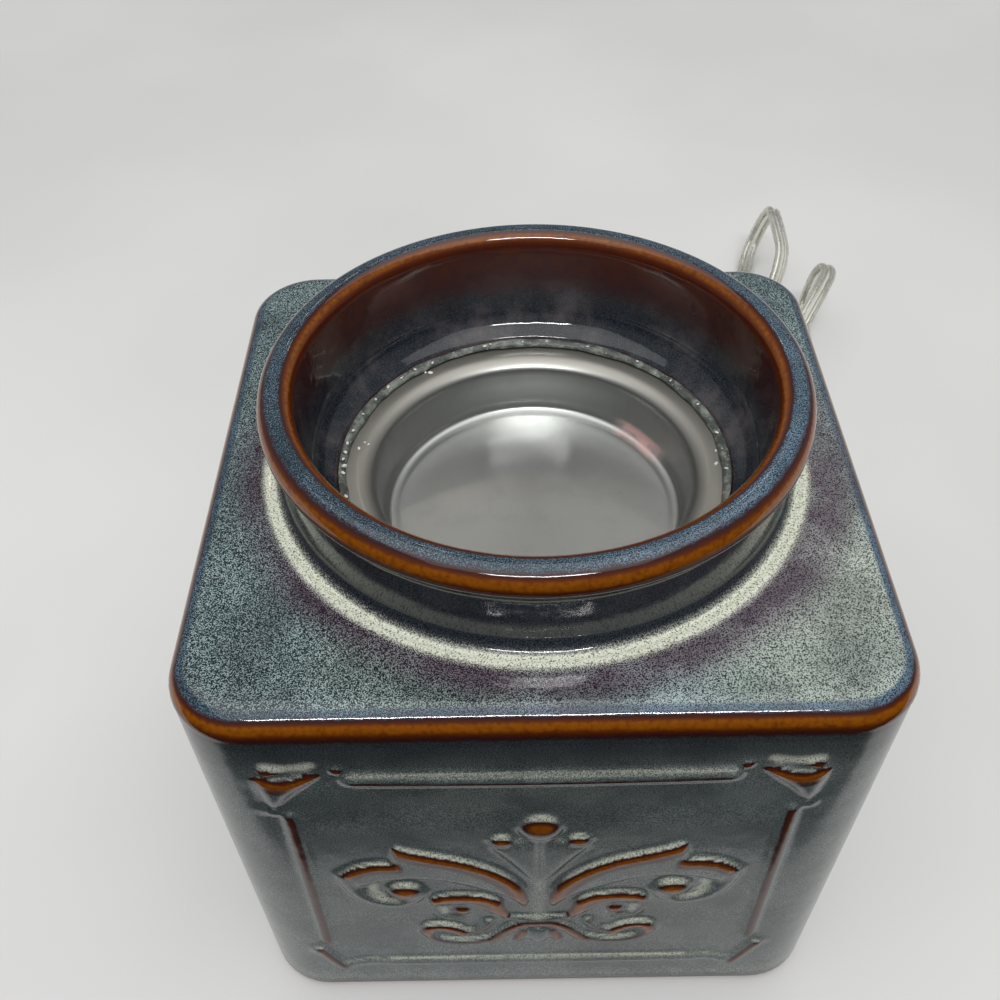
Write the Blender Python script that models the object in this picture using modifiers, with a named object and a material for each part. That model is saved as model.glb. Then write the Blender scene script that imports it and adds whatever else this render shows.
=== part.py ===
"""An electric wax warmer: a square glazed ceramic body with a round collar, and a heated metal pan.

The pan hangs in the collar. A flat heater is clamped under it by one stud. The base plate screws to
four blocks cemented into the corners. A clear flat cord leaves the back wall, with a rocker switch
and a plug on it, and its spare length is wound in a coil behind the body.

Metres, +Z up. The origin is on the floor, below the centre of the body, and the front faces -Y.
"""

import math

import bmesh
import bpy
from mathutils import Matrix, Vector

# Clearances
SEAT_GAP = 0.0003  # between two pieces that touch on the real object
FIT_GAP = 0.0004  # round a piece that drops into a hole or a cavity
CUT_OVERRUN = 0.0050  # how far a cutter reaches past the face that it opens

# Ceramic body
BODY_WIDTH = 0.120
BODY_DEPTH = 0.120
BODY_HEIGHT = 0.1028  # bottom edge to the flat top face
BODY_DRAFT = 0.0016  # each side leans in by this at the bottom
BODY_CORNER_R = 0.0133
BODY_TOP_EDGE_R = 0.0040
BODY_BOTTOM_EDGE_R = 0.0012
BODY_WALL = 0.0060
BODY_TOP_WALL = 0.0085
BODY_STANDOFF = 0.0015  # the feet hold the bottom edge this far off the floor

# Relief on each side of the body, as rounded strokes. A stroke is its height in metres, then its
# points: across from the ornament's middle, up from the floor, and half its width there, all in
# 120ths of the side's width or of its own height, which is a millimetre each at this size. The
# paired strokes are mirrored. The bar at the bottom stops short of the strain relief at the back.
ORNAMENT_UNITS = 120.0
ORNAMENT_RISE_UNITS = 102.8
ORNAMENT_SHIFT = -0.6
ORNAMENT_SINK = 0.0002  # a stroke is widest this far inside the wall
MIDDLE_STROKES = (
    (
        0.0011,
        (
            (-31.8, 88.7, 1.6),
            (-30.0, 88.6, 2.2),
            (0.0, 88.0, 2.2),
            (30.0, 88.6, 2.2),
            (31.8, 88.7, 1.6),
        ),
    ),
    (0.0014, ((0.0, 67.6, 1.8), (0.0, 70.0, 3.3), (0.0, 73.2, 3.4), (0.0, 75.8, 1.8))),
    (0.0008, ((0.0, 66.8, 6.8), (0.0, 63.6, 6.2), (0.0, 58.8, 4.4), (0.0, 53.4, 2.0))),
    (0.0008, ((-6.0, 35.7, 0.9), (-3.0, 35.1, 1.2), (3.0, 35.1, 1.2), (6.0, 35.7, 0.9))),
    (
        0.0011,
        (
            (-9.6, 25.0, 1.0),
            (-7.6, 27.7, 1.7),
            (-5.4, 30.6, 1.7),
            (-3.0, 32.5, 1.7),
            (0.0, 33.0, 1.7),
            (3.0, 32.5, 1.7),
            (5.4, 30.6, 1.7),
            (7.6, 27.7, 1.7),
            (9.6, 25.0, 1.0),
        ),
    ),
    (0.0009, ((0.0, 29.8, 1.2), (0.0, 27.4, 2.1), (0.0, 25.4, 2.0), (0.0, 23.2, 1.0))),
)
PAIRED_STROKES = (
    (
        0.0010,
        (
            (-34.4, 53.0, 2.6),
            (-30.4, 55.4, 3.9),
            (-26.0, 58.4, 5.0),
            (-21.0, 58.5, 5.2),
            (-16.4, 56.8, 4.9),
            (-12.2, 54.3, 4.5),
            (-8.8, 51.2, 3.9),
            (-6.1, 48.0, 3.1),
            (-4.0, 44.2, 2.1),
            (-2.8, 39.8, 1.0),
        ),
    ),
    (0.0009, ((-35.4, 50.6, 1.3), (-33.2, 46.4, 1.7), (-30.4, 43.9, 1.7), (-27.4, 42.9, 1.7))),
    (0.0014, ((-26.0, 44.8, 2.0), (-25.0, 47.6, 3.3), (-24.4, 50.4, 2.2))),
    (
        0.0010,
        (
            (-20.6, 42.4, 1.0),
            (-17.4, 43.9, 2.2),
            (-13.6, 43.5, 2.7),
            (-10.2, 42.0, 3.2),
            (-7.6, 39.4, 2.8),
            (-5.8, 37.0, 1.2),
        ),
    ),
    (0.0011, ((-16.8, 38.4, 1.8), (-14.8, 39.5, 2.1), (-13.0, 39.9, 1.2))),
    (0.0012, ((-8.8, 66.8, 1.0), (-7.2, 67.2, 2.0), (-5.4, 67.3, 1.2))),
    (
        0.0011,
        (
            (-21.8, 29.6, 1.1),
            (-20.9, 31.5, 1.7),
            (-18.7, 31.9, 1.8),
            (-16.4, 30.8, 1.6),
            (-14.4, 29.4, 1.2),
            (-12.2, 29.8, 1.3),
            (-10.7, 31.6, 1.3),
            (-9.7, 33.4, 1.0),
        ),
    ),
    (
        0.0010,
        (
            (-21.8, 27.8, 1.0),
            (-20.2, 26.3, 1.6),
            (-17.0, 24.9, 1.7),
            (-12.9, 24.7, 1.5),
            (-11.0, 25.2, 1.1),
        ),
    ),
    (0.0011, ((-40.4, 90.0, 4.4), (-42.0, 87.2, 3.1), (-43.5, 84.0, 1.9), (-44.5, 80.8, 1.0))),
    (0.0009, ((-42.2, 77.0, 1.1), (-42.2, 75.0, 1.4), (-42.2, 27.0, 1.4), (-42.2, 25.0, 1.1))),
    (0.0009, ((-44.2, 21.4, 0.9), (-42.6, 17.4, 1.4), (-40.8, 13.4, 1.3))),
)
BOTTOM_STROKE = (
    0.0010,
    (
        (-38.4, 13.6, 1.0),
        (-34.8, 14.8, 1.7),
        (0.0, 14.6, 1.9),
        (34.8, 14.8, 1.7),
        (38.4, 13.6, 1.0),
    ),
)
BACK_BOTTOM_STROKE = (0.0010, ((-16.0, 14.6, 1.4), (-14.0, 14.6, 1.9), (34.8, 14.8, 1.7), (38.4, 13.6, 1.0)))

# Collar round the well
LIP_R = 0.0456  # to the middle of the rolled lip
LIP_TUBE_R = 0.00325
LIP_RISE = 0.0164  # from the top face to the middle of the lip
NECK_R = 0.0462
NECK_FILLET_R = 0.0030
NECK_SHOULDER = 0.0050  # below the middle of the lip, where the neck is straight
COLLAR_ROOT = 0.0032  # how far the collar's root stands outside the neck
WELL_WALL_R = 0.0418
WELL_TURN_R = 0.0060  # the wall turns in over this radius, above the pan
WELL_TURN_RISE = 0.0086  # from the ledge to where the turn starts
LEDGE_R = 0.0370
LEDGE_BORE_R = 0.0330
LEDGE_BOSS = 0.0012  # the ledge's underside stands this far below the ceiling

# Pan
PAN_R = 0.0362
PAN_SHEET = 0.0010
PAN_DEPTH = 0.0115
PAN_DROP = 0.0034  # the flange's top lies this far below the body's top face
PAN_WELL_R = 0.0299  # inside, just under the shoulder
PAN_FLOOR_R = 0.0289  # inside, just above the floor
PAN_SHOULDER_R = 0.0017
PAN_CORNER_R = 0.0013

# Sealant bead between the pan and the collar
SEAL_WIDTH = 0.0014
SEAL_HEIGHT = 0.0010

# Heater stack, hung from the stud under the pan
STUD_R = 0.0020
STUD_HEAD_R = 0.0032
STUD_HEAD = 0.0010
STUD_LENGTH = 0.0234
HEATER_R = 0.0260
HEATER_THICK = 0.0015
HEATER_TAB = 0.0050
PAD_R = 0.0260
PAD_THICK = 0.0030
CLAMP_R = 0.0270
CLAMP_THICK = 0.0010
NUT_AF = 0.0070
NUT_HEIGHT = 0.0032
SPACER_R = 0.0040
SPACER_LENGTH = 0.0060
SHIELD_SHEET = 0.0008
SHIELD_FLOOR_R = 0.0290
SHIELD_RIM_R = 0.0340
SHIELD_HEIGHT = 0.0110
SHIELD_CORNER_R = 0.0020
WASHER_R = 0.0050
WASHER_THICK = 0.0010

# Thermal fuse in its sleeve, strapped under the clamp plate
FUSE_R = 0.0020
FUSE_LENGTH = 0.0110
FUSE_LEAD_R = 0.0005
FUSE_LEAD = 0.0045
FUSE_OFFSET = 0.0150  # in front of the stud
SLEEVE_WALL = 0.0005
SLEEVE_LENGTH = 0.0160
STRAP_WIDTH = 0.0050
STRAP_SHEET = 0.0005
STRAP_TAB = 0.0040

# Base
BASE_THICK = 0.0025
BASE_RECESS = 0.0015  # the plate's underside lies this far inside the bottom edge
BASE_EDGE_R = 0.0005
VENT_LENGTH = 0.0240
VENT_WIDTH = 0.0030
VENT_PITCH = 0.0080
VENT_COUNT = 5
BLOCK_SIDE = 0.0160
BLOCK_HEIGHT = 0.0120
BLOCK_INSET = 0.0085  # from the cavity's wall to the screw
SCREW_R = 0.0015
SCREW_BITE = 0.0080  # how far it goes into the block
SCREW_HEAD_R = 0.0028
SCREW_HEAD = 0.0011
SCREW_LIFT = 0.0004  # the head is this far above the floor
FOOT_R = 0.0070
FOOT_EDGE_R = 0.0008

# Cord, a flat two-core cable
CORD_WIDTH = 0.0053
CORD_THICK = 0.0027
CORD_SIDES = 8
COIL_SIDES = 6

# Strain relief in the back wall
RELIEF_X = 0.025
RELIEF_Z = 0.0140
RELIEF_NECK_R = 0.0043
RELIEF_FLANGE_R = 0.0062
RELIEF_FLANGE = 0.0016
RELIEF_TAIL_R = 0.0042
RELIEF_TIP_R = 0.0032
RELIEF_TAIL = 0.0210

# Leads and connectors inside the body
LEAD_R = 0.0009
CONNECTOR_R = 0.0036
CONNECTOR_TIP_R = 0.0026
CONNECTOR_LENGTH = 0.0150
CONNECTOR_SPACING = 0.0120
CONNECTOR_X = 0.0220
CONNECTOR_Y = 0.0180  # the open ends, with the closed ends towards the front

# Rocker switch on the cord
SWITCH_X = -0.0130
SWITCH_Y = 0.0750
SWITCH_LENGTH = 0.0560
SWITCH_WIDTH = 0.0210
SWITCH_HEIGHT = 0.0160
SWITCH_SPLIT = 0.0080  # height of the joint between the two halves
SWITCH_END_R = 0.0075
SWITCH_EDGE_R = 0.0015
SWITCH_WALL = 0.0016
SWITCH_SCREW_X = 0.0190
SWITCH_SCREW_Y = 0.0055
SWITCH_SCREW_R = 0.0010
SWITCH_SCREW_HEAD_R = 0.0019
SWITCH_SCREW_HEAD = 0.0009
SWITCH_BOSS_R = 0.0026
ROCKER_LENGTH = 0.0152
ROCKER_WIDTH = 0.0090
ROCKER_CROWN = 0.0028  # the ends stand this far above the pivot
ROCKER_WAIST = 0.0014  # the middle of the rocker stands this far above the pivot
ROCKER_BELLY = 0.0030  # below the pivot
ROCKER_TILT = 8.0  # degrees, each way from level
ROCKER_PIVOT_DROP = 0.0012  # the pivot lies this far below the top of the case
ROCKER_PIVOT_R = 0.0012
ROCKER_PIVOT_REACH = 0.0019  # each end of the pivot pin beyond the rocker's side
LUG_LENGTH = 0.0056
LUG_DEPTH = 0.0034
LUG_GAP = 0.0006
ARM_LENGTH = 0.0120
ARM_WIDTH = 0.0040
ARM_THICK = 0.0006
CONTACT_X = 0.0052  # from the pivot to the end contact's post
CONTACT_LENGTH = 0.0090
CONTACT_WIDTH = 0.0050
CONTACT_THICK = 0.0008

# Plug
PLUG_POINT = (0.0120, 0.1625)  # where the cord enters it
PLUG_HEADING = 6.0  # degrees from +X, the way the blades point
PLUG_LENGTH = 0.0240
PLUG_WIDTH = 0.0210
PLUG_HEIGHT = 0.0130
PLUG_TAIL_WIDTH = 0.0100
PLUG_TAIL_HEIGHT = 0.0084
PLUG_EDGE_R = 0.0020
BLADE_SPACING = 0.0127
BLADE_LENGTH = 0.0165
BLADE_THICK = 0.0015
BLADE_WIDTH = 0.0063
WIDE_BLADE_WIDTH = 0.0079
BLADE_SEAT = 0.0040
BLADE_HOLE_R = 0.0016

# Coil of spare cord
COIL_X = -0.0200
COIL_Y = 0.1280
COIL_R = 0.0320  # outermost turn
COIL_TURNS = 5
COIL_TURN_POINTS = 24
COIL_STEP = 0.0034  # from one turn to the next, radially
COIL_LAYER_GAP = 0.0006
COIL_LIFT = 0.0013  # the ties pass under the coil
COIL_START = 180.0  # degrees from +X, where the cord comes in
COIL_END = 90.0  # and where it leaves, an upper layer and some turns later

# Wire ties round the coil
TIE_R = 0.00045
TIE_GAP = 0.0004
TIE_ANGLES = (135.0, 315.0)

# Routes, as points in millimetres and the roll of the flat cord in degrees: 0 is flat on the floor,
# 90 on edge. A stretch is a smooth curve through its points.
LEAD_ROUTE = (
    (25.0, 81.9, 14.0, 0),
    (25.0, 88.0, 13.6, 0),
    (26.6, 97.5, 9.6, 0),
    (30.8, 107.5, 4.6, 6),
    (38.0, 121.0, 2.4, 14),
    (49.0, 141.0, 2.4, 18),
    (62.0, 163.0, 2.5, 20),
    (76.5, 188.0, 2.6, 20),
    (85.2, 202.0, 2.7, 20),
    (88.6, 210.8, 2.9, 18),
    (91.0, 217.5, 5.1, 22),
    (93.4, 220.9, 9.7, 39),
    (95.1, 221.6, 14.3, 90),
    (96.3, 220.2, 19.0, 141),
    (96.8, 216.0, 23.5, 158),
    (95.8, 209.0, 25.7, 162),
    (95.6, 199.0, 25.4, 160),
    (95.4, 189.0, 22.8, 152),
    (92.0, 179.5, 17.2, 134),
    (86.4, 170.5, 10.4, 114),
    (79.4, 160.4, 5.4, 99),
    (81.5, 152.9, 3.4, 92),
    (87.7, 148.2, 2.8, 90),
    (95.5, 148.3, 2.8, 88),
    (101.6, 153.2, 2.8, 70),
    (102.4, 171.0, 2.9, 12),
    (104.1, 177.9, 5.1, 14),
    (105.8, 181.5, 9.9, 27),
    (107.0, 182.4, 14.6, 90),
    (107.8, 181.2, 19.4, 153),
    (108.0, 177.1, 24.2, 166),
    (107.2, 170.1, 26.4, 168),
    (102.4, 160.5, 26.2, 172),
    (95.4, 149.0, 23.0, 176),
    (87.4, 136.6, 16.4, 180),
    (78.5, 122.8, 8.6, 180),
    (68.0, 107.8, 3.5, 180),
    (58.0, 94.4, 1.8, 180),
    (47.5, 82.8, 1.7, 180),
    (36.5, 76.4, 2.4, 180),
    (26.0, 75.0, 5.2, 180),
    (20.6, 75.0, 7.4, 180),
    (15.3, 75.0, 8.0, 180),
)
LINK_ROUTE = (
    (-41.3, 75.0, 8.0, 0),
    (-46.6, 75.1, 7.7, 10),
    (-53.5, 79.0, 6.0, 50),
    (-57.2, 87.5, 4.6, 80),
    (-56.6, 98.0, 4.1, 90),
    (-54.4, 109.0, 3.95, 90),
    (-53.1, 116.5, 3.95, 90),
    (-52.82, 122.4, 3.95, 90),
)
TAIL_ROUTE = (
    (-14.0, 160.8, 9.85, 90),
    (-8.0, 161.0, 9.7, 86),
    (-1.0, 161.4, 8.8, 62),
    (6.0, 161.9, 7.3, 22),
    (11.7, 162.47, 6.6, 0),
)
ROUTE_STEPS = 2  # points along the cord for each of a route's own stretches

# Steps round turned pieces
BODY_STEPS = 52
PAN_STEPS = 44
SMALL_STEPS = 20

# Colours, roughness and metal
FINISHES = {
    "glaze": ((0.13, 0.17, 0.21, 1), 0.12, 0.0),
    "aluminium": ((0.60, 0.60, 0.60, 1), 0.35, 1.0),
    "steel": ((0.55, 0.55, 0.55, 1), 0.35, 1.0),
    "brass": ((0.70, 0.53, 0.22, 1), 0.30, 1.0),
    "sealant": ((0.62, 0.66, 0.60, 1), 0.45, 0.0),
    "mica": ((0.55, 0.47, 0.33, 1), 0.50, 0.0),
    "felt": ((0.82, 0.81, 0.78, 1), 0.90, 0.0),
    "black_plastic": ((0.02, 0.02, 0.02, 1), 0.45, 0.0),
    "white_plastic": ((0.80, 0.80, 0.78, 1), 0.40, 0.0),
    "rubber": ((0.05, 0.05, 0.05, 1), 0.75, 0.0),
    "clear_pvc": ((0.78, 0.76, 0.68, 1), 0.18, 0.0),
    "wire_skin": ((0.88, 0.88, 0.84, 1), 0.60, 0.0),
}

# Heights that follow from the sizes above
BODY_BOTTOM_Z = BODY_STANDOFF
BODY_TOP_Z = BODY_BOTTOM_Z + BODY_HEIGHT
CEILING_Z = BODY_TOP_Z - BODY_TOP_WALL
LIP_Z = BODY_TOP_Z + LIP_RISE
PAN_TOP_Z = BODY_TOP_Z - PAN_DROP
PAN_FLOOR_Z = PAN_TOP_Z - PAN_DEPTH
PAN_UNDER_Z = PAN_FLOOR_Z - PAN_SHEET
LEDGE_Z = PAN_TOP_Z - PAN_SHEET - SEAT_GAP
BASE_BOTTOM_Z = BODY_BOTTOM_Z + BASE_RECESS
BASE_TOP_Z = BASE_BOTTOM_Z + BASE_THICK
BLOCK_BOTTOM_Z = BASE_TOP_Z + SEAT_GAP
CAVITY_X = BODY_WIDTH / 2 - BODY_DRAFT - BODY_WALL
CAVITY_Y = BODY_DEPTH / 2 - BODY_DRAFT - BODY_WALL
CAVITY_CORNER_R = BODY_CORNER_R - BODY_WALL
SCREW_X = CAVITY_X - BLOCK_INSET
SCREW_Y = CAVITY_Y - BLOCK_INSET
HEATER_TOP_Z = PAN_UNDER_Z - SEAT_GAP
PAD_TOP_Z = HEATER_TOP_Z - HEATER_THICK - SEAT_GAP
CLAMP_TOP_Z = PAD_TOP_Z - PAD_THICK - SEAT_GAP
CLAMP_NUT_TOP_Z = CLAMP_TOP_Z - CLAMP_THICK - SEAT_GAP
SPACER_TOP_Z = CLAMP_NUT_TOP_Z - NUT_HEIGHT - SEAT_GAP
SHIELD_TOP_Z = SPACER_TOP_Z - SPACER_LENGTH - SEAT_GAP
WASHER_TOP_Z = SHIELD_TOP_Z - SHIELD_SHEET - SEAT_GAP
SHIELD_NUT_TOP_Z = WASHER_TOP_Z - WASHER_THICK - SEAT_GAP
PIVOT_Z = SWITCH_HEIGHT - ROCKER_PIVOT_DROP
CORNERS = (("front_left", -1, -1), ("front_right", 1, -1), ("back_left", -1, 1), ("back_right", 1, 1))


# Scene and materials

def clear_scene():
    for old in list(bpy.data.objects):
        bpy.data.objects.remove(old, do_unlink=True)


def new_collection(name):
    group = bpy.data.collections.new(name)
    bpy.context.scene.collection.children.link(group)
    return group


def material(name):
    found = bpy.data.materials.get(name)
    if found:
        return found
    colour, roughness, metallic = FINISHES[name]
    made = bpy.data.materials.new(name)
    made.use_nodes = True
    shader = made.node_tree.nodes["Principled BSDF"]
    shader.inputs["Base Color"].default_value = colour
    shader.inputs["Roughness"].default_value = roughness
    shader.inputs["Metallic"].default_value = metallic
    made.diffuse_color = colour
    return made


# Modelling tools

def add_part(name, data, finish):
    """A new object of the warmer, from a mesh or a curve."""
    part = bpy.data.objects.new(name, data)
    data.materials.append(material(finish))
    parts.objects.link(part)
    return part


def add_guide(name, data):
    """A cutter or a guide: it shapes other pieces and isn't one itself."""
    guide = bpy.data.objects.new(name, data)
    guide.hide_render = True
    guide.display_type = "WIRE"
    guides.objects.link(guide)
    return guide


def to_mesh(name, bm):
    mesh = bpy.data.meshes.new(name)
    bm.to_mesh(mesh)
    bm.free()
    return mesh


def arc(centre, radius, start, end, count):
    """Points on a circle in the profile plane, angles in degrees from the outward direction."""
    points = []
    for i in range(count + 1):
        angle = math.radians(start + (end - start) * i / count)
        points.append((centre[0] + radius * math.cos(angle), centre[1] + radius * math.sin(angle)))
    return points


def turned_mesh(name, profile, closed):
    """The profile, as (radius, height) points, for a Screw modifier to turn about Z."""
    bm = bmesh.new()
    verts = [bm.verts.new((r, 0, z)) for r, z in profile]
    for a, b in zip(verts, verts[1:]):
        bm.edges.new((a, b))
    if closed:
        bm.edges.new((verts[-1], verts[0]))
    return to_mesh(name, bm)


def turn(piece, steps, smooth=True):
    """Turns a profile all the way round its own Z axis."""
    screw = piece.modifiers.new("turn", "SCREW")
    screw.steps = steps
    screw.render_steps = steps
    screw.use_merge_vertices = True
    screw.merge_threshold = 0.00001
    screw.use_smooth_shade = smooth


def turned(name, profile, finish, steps=SMALL_STEPS, closed=False):
    piece = add_part(name, turned_mesh(name, profile, closed), finish)
    turn(piece, steps)
    return piece


def turned_cutter(name, profile, steps=SMALL_STEPS, closed=False):
    piece = add_guide(name, turned_mesh(name, profile, closed))
    turn(piece, steps)
    return piece


def rod_profile(radius, low, high):
    """A plain cylinder's profile, from the middle of its top to the middle of its underside."""
    return ((0, high), (radius, high), (radius, low), (0, low))


def ring_profile(inner, outer, low, high):
    """A washer's profile: a closed outline that runs down its outer side."""
    return ((inner, high), (outer, high), (outer, low), (inner, low))


def box_mesh(name, low, high, corner_r=0.0, edge_r=0.0, segments=3, bottom_edge=True):
    """A box between two corners, with rounded upright edges and rounded rims."""
    bm = bmesh.new()
    bmesh.ops.create_cube(bm, size=1)
    size = [b - a for a, b in zip(low, high)]
    middle = [(a + b) / 2 for a, b in zip(low, high)]
    bmesh.ops.transform(bm, matrix=Matrix.Translation(middle) @ Matrix.Diagonal((*size, 1)), verts=bm.verts)
    if corner_r:
        bevel(bm, upright_edges(bm), corner_r, segments + 1)
    if edge_r:
        bevel(bm, rim_edges(bm, high[2]), edge_r, segments)
        if bottom_edge:
            bevel(bm, rim_edges(bm, low[2]), edge_r, segments)
    return to_mesh(name, bm)


def upright_edges(bm):
    return [e for e in bm.edges if abs(e.verts[0].co.z - e.verts[1].co.z) > 1e-5]


def rim_edges(bm, height):
    """The edges round a flat face at that height."""
    flat = [f for f in bm.faces if all(abs(v.co.z - height) < 1e-6 for v in f.verts)]
    return [e for f in flat for e in f.edges if sum(g in flat for g in e.link_faces) == 1]


def bevel(bm, edges, radius, segments):
    bmesh.ops.bevel(
        bm, geom=edges, offset=radius, segments=segments, profile=0.5, affect="EDGES", clamp_overlap=True
    )


def boolean(piece, operation, other):
    change = piece.modifiers.new(other.name, "BOOLEAN")
    change.operation = operation
    change.solver = "EXACT"
    change.object = other
    return change


def cut(piece, *cutters):
    for cutter in cutters:
        boolean(piece, "DIFFERENCE", cutter)


def smooth_route(points, steps):
    """A smooth curve through the points, each of four numbers, with some steps between each two."""
    rows = [Vector(p) for p in points]
    rows = [2 * rows[0] - rows[1], *rows, 2 * rows[-1] - rows[-2]]
    curve = []
    for a, b, c, d in zip(rows, rows[1:], rows[2:], rows[3:]):
        for i in range(steps):
            t = i / steps
            cubic = 2 * b + (c - a) * t + (2 * a - 5 * b + 4 * c - d) * t**2 + (3 * b - a - 3 * c + d) * t**3
            curve.append(cubic / 2)
    return [*curve, rows[-2]]


def cord_section(name, sides):
    """The flat cord's outline: an oval as wide as the cord."""
    outline = bpy.data.curves.new(name, "CURVE")
    outline.dimensions = "2D"
    spline = outline.splines.new("POLY")
    spline.points.add(sides - 1)
    flatten = 1 / math.sin(2 * math.pi * (sides // 4) / sides)  # the flat sides stay a full thickness apart
    for i, point in enumerate(spline.points):
        angle = -2 * math.pi * i / sides
        point.co = (CORD_WIDTH / 2 * math.cos(angle), CORD_THICK / 2 * math.sin(angle) * flatten, 0, 1)
    spline.use_cyclic_u = True
    return add_guide(name, outline)


def flat_cord(name, rows, section, finish="clear_pvc"):
    """A flat cord along points in metres, each with its roll in degrees."""
    curve = new_curve(name, [row[:3] for row in rows])
    curve.twist_mode = "Z_UP"
    curve.bevel_mode = "OBJECT"
    curve.bevel_object = section
    for point, row in zip(curve.splines[0].points, rows):
        point.tilt = math.radians(row[3])
    return add_part(name, curve, finish)


def new_curve(name, points, closed=False):
    curve = bpy.data.curves.new(name, "CURVE")
    curve.dimensions = "3D"
    curve.use_fill_caps = not closed
    spline = curve.splines.new("POLY")
    spline.points.add(len(points) - 1)
    for point, place in zip(spline.points, points):
        point.co = (*place, 1)
    spline.use_cyclic_u = closed
    return curve


def wire(name, points, radius, finish, closed=False, steps=3):
    """A round wire along a smooth curve through its points."""
    if not closed:
        points = [row[:3] for row in smooth_route([(*p, 0) for p in points], steps)]
    curve = new_curve(name, points, closed)
    curve.bevel_depth = radius
    curve.bevel_resolution = 1
    return add_part(name, curve, finish)


def route_in_metres(route):
    rows = [(x / 1000, y / 1000, z / 1000, roll) for x, y, z, roll in route]
    return smooth_route(rows, ROUTE_STEPS)


# Ceramic body, one slip-cast piece: a drafted box, open below, with the collar on top

def body_half(half, height):
    """How far the outside stands from the middle at a height above the floor."""
    return half - BODY_DRAFT * (BODY_TOP_Z - height) / BODY_HEIGHT


def drafted_box():
    bm = bmesh.new()
    bmesh.ops.create_cube(bm, size=1)
    for vert in bm.verts:
        high = vert.co.z > 0
        lean = 0 if high else BODY_DRAFT
        vert.co.x = math.copysign(BODY_WIDTH / 2 - lean, vert.co.x)
        vert.co.y = math.copysign(BODY_DEPTH / 2 - lean, vert.co.y)
        vert.co.z = BODY_TOP_Z if high else BODY_BOTTOM_Z
    bevel(bm, upright_edges(bm), BODY_CORNER_R, 7)
    bevel(bm, rim_edges(bm, BODY_TOP_Z), BODY_TOP_EDGE_R, 4)
    bevel(bm, rim_edges(bm, BODY_BOTTOM_Z), BODY_BOTTOM_EDGE_R, 2)
    return to_mesh("ceramic_body", bm)


def stroke_mesh(points):
    """A closed tube through the points, flat on the XY plane, as wide as each point says."""
    curve = new_curve("stroke", [(across, up, 0) for across, up, _ in points])
    curve.twist_mode = "Z_UP"
    curve.bevel_depth = 1
    curve.bevel_resolution = 1
    for point, (_, _, half_width) in zip(curve.splines[0].points, points):
        point.radius = half_width
    guide = add_guide("stroke", curve)
    evaluated = guide.evaluated_get(bpy.context.evaluated_depsgraph_get())
    mesh = bpy.data.meshes.new_from_object(evaluated)
    bpy.data.objects.remove(guide)
    return mesh


def side_strokes(turn):
    """Every stroke of one side, counted round from the front."""
    strokes = [*MIDDLE_STROKES, BACK_BOTTOM_STROKE if turn == 2 else BOTTOM_STROKE]
    for height, points in PAIRED_STROKES:
        strokes.append((height, points))
        strokes.append((height, [(-across, up, half_width) for across, up, half_width in points]))
    return strokes


def ornament():
    """The relief of all four sides: closed tubes, flattened to their heights and sunk in the wall."""
    bm = bmesh.new()
    for turn in range(4):
        width, depth = (BODY_WIDTH, BODY_DEPTH) if turn % 2 == 0 else (BODY_DEPTH, BODY_WIDTH)
        unit = width / ORNAMENT_UNITS
        rise = BODY_HEIGHT / ORNAMENT_RISE_UNITS
        facing = Matrix.Rotation(math.radians(90 * turn), 3, "Z")
        for height, points in side_strokes(turn):
            tube = stroke_mesh(points)
            flatten = (height + ORNAMENT_SINK) / max(half_width for _, _, half_width in points)
            for vert in tube.vertices:
                across, up, out = vert.co
                z = up * rise
                face = body_half(depth / 2, z)
                out = out * flatten - ORNAMENT_SINK
                vert.co = facing @ Vector(((across + ORNAMENT_SHIFT) * unit, -face - out, z))
            bm.from_mesh(tube)
            bpy.data.meshes.remove(tube)
    bmesh.ops.remove_doubles(bm, verts=bm.verts, dist=SEAT_GAP / 30)
    bmesh.ops.recalc_face_normals(bm, faces=bm.faces)
    return add_guide("ornament", to_mesh("ornament", bm))


def collar_profile():
    """The collar's section, down the outside from the lip and up the well to the lip again."""
    root_r = NECK_R + COLLAR_ROOT
    root_z = CEILING_Z - LEDGE_BOSS
    lip = (LIP_R, LIP_Z)
    fillet = (NECK_R + NECK_FILLET_R, BODY_TOP_Z + NECK_FILLET_R)
    turn_z = LEDGE_Z + WELL_TURN_RISE
    outside = arc(lip, LIP_TUBE_R, 90, -50, 7)
    outside.append((NECK_R, LIP_Z - NECK_SHOULDER))
    outside += arc(fillet, NECK_FILLET_R, 180, 250, 4)
    outside += [(root_r, BODY_TOP_Z - 2 * SEAT_GAP), (root_r, root_z)]
    ledge = [(LEDGE_BORE_R, root_z), (LEDGE_BORE_R, LEDGE_Z), (LEDGE_R, LEDGE_Z)]
    well = arc((WELL_WALL_R - WELL_TURN_R, turn_z), WELL_TURN_R, -72, 0, 5)
    inside = arc(lip, LIP_TUBE_R, 180, 90, 5)
    return outside + ledge + well + inside[:-1]


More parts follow.
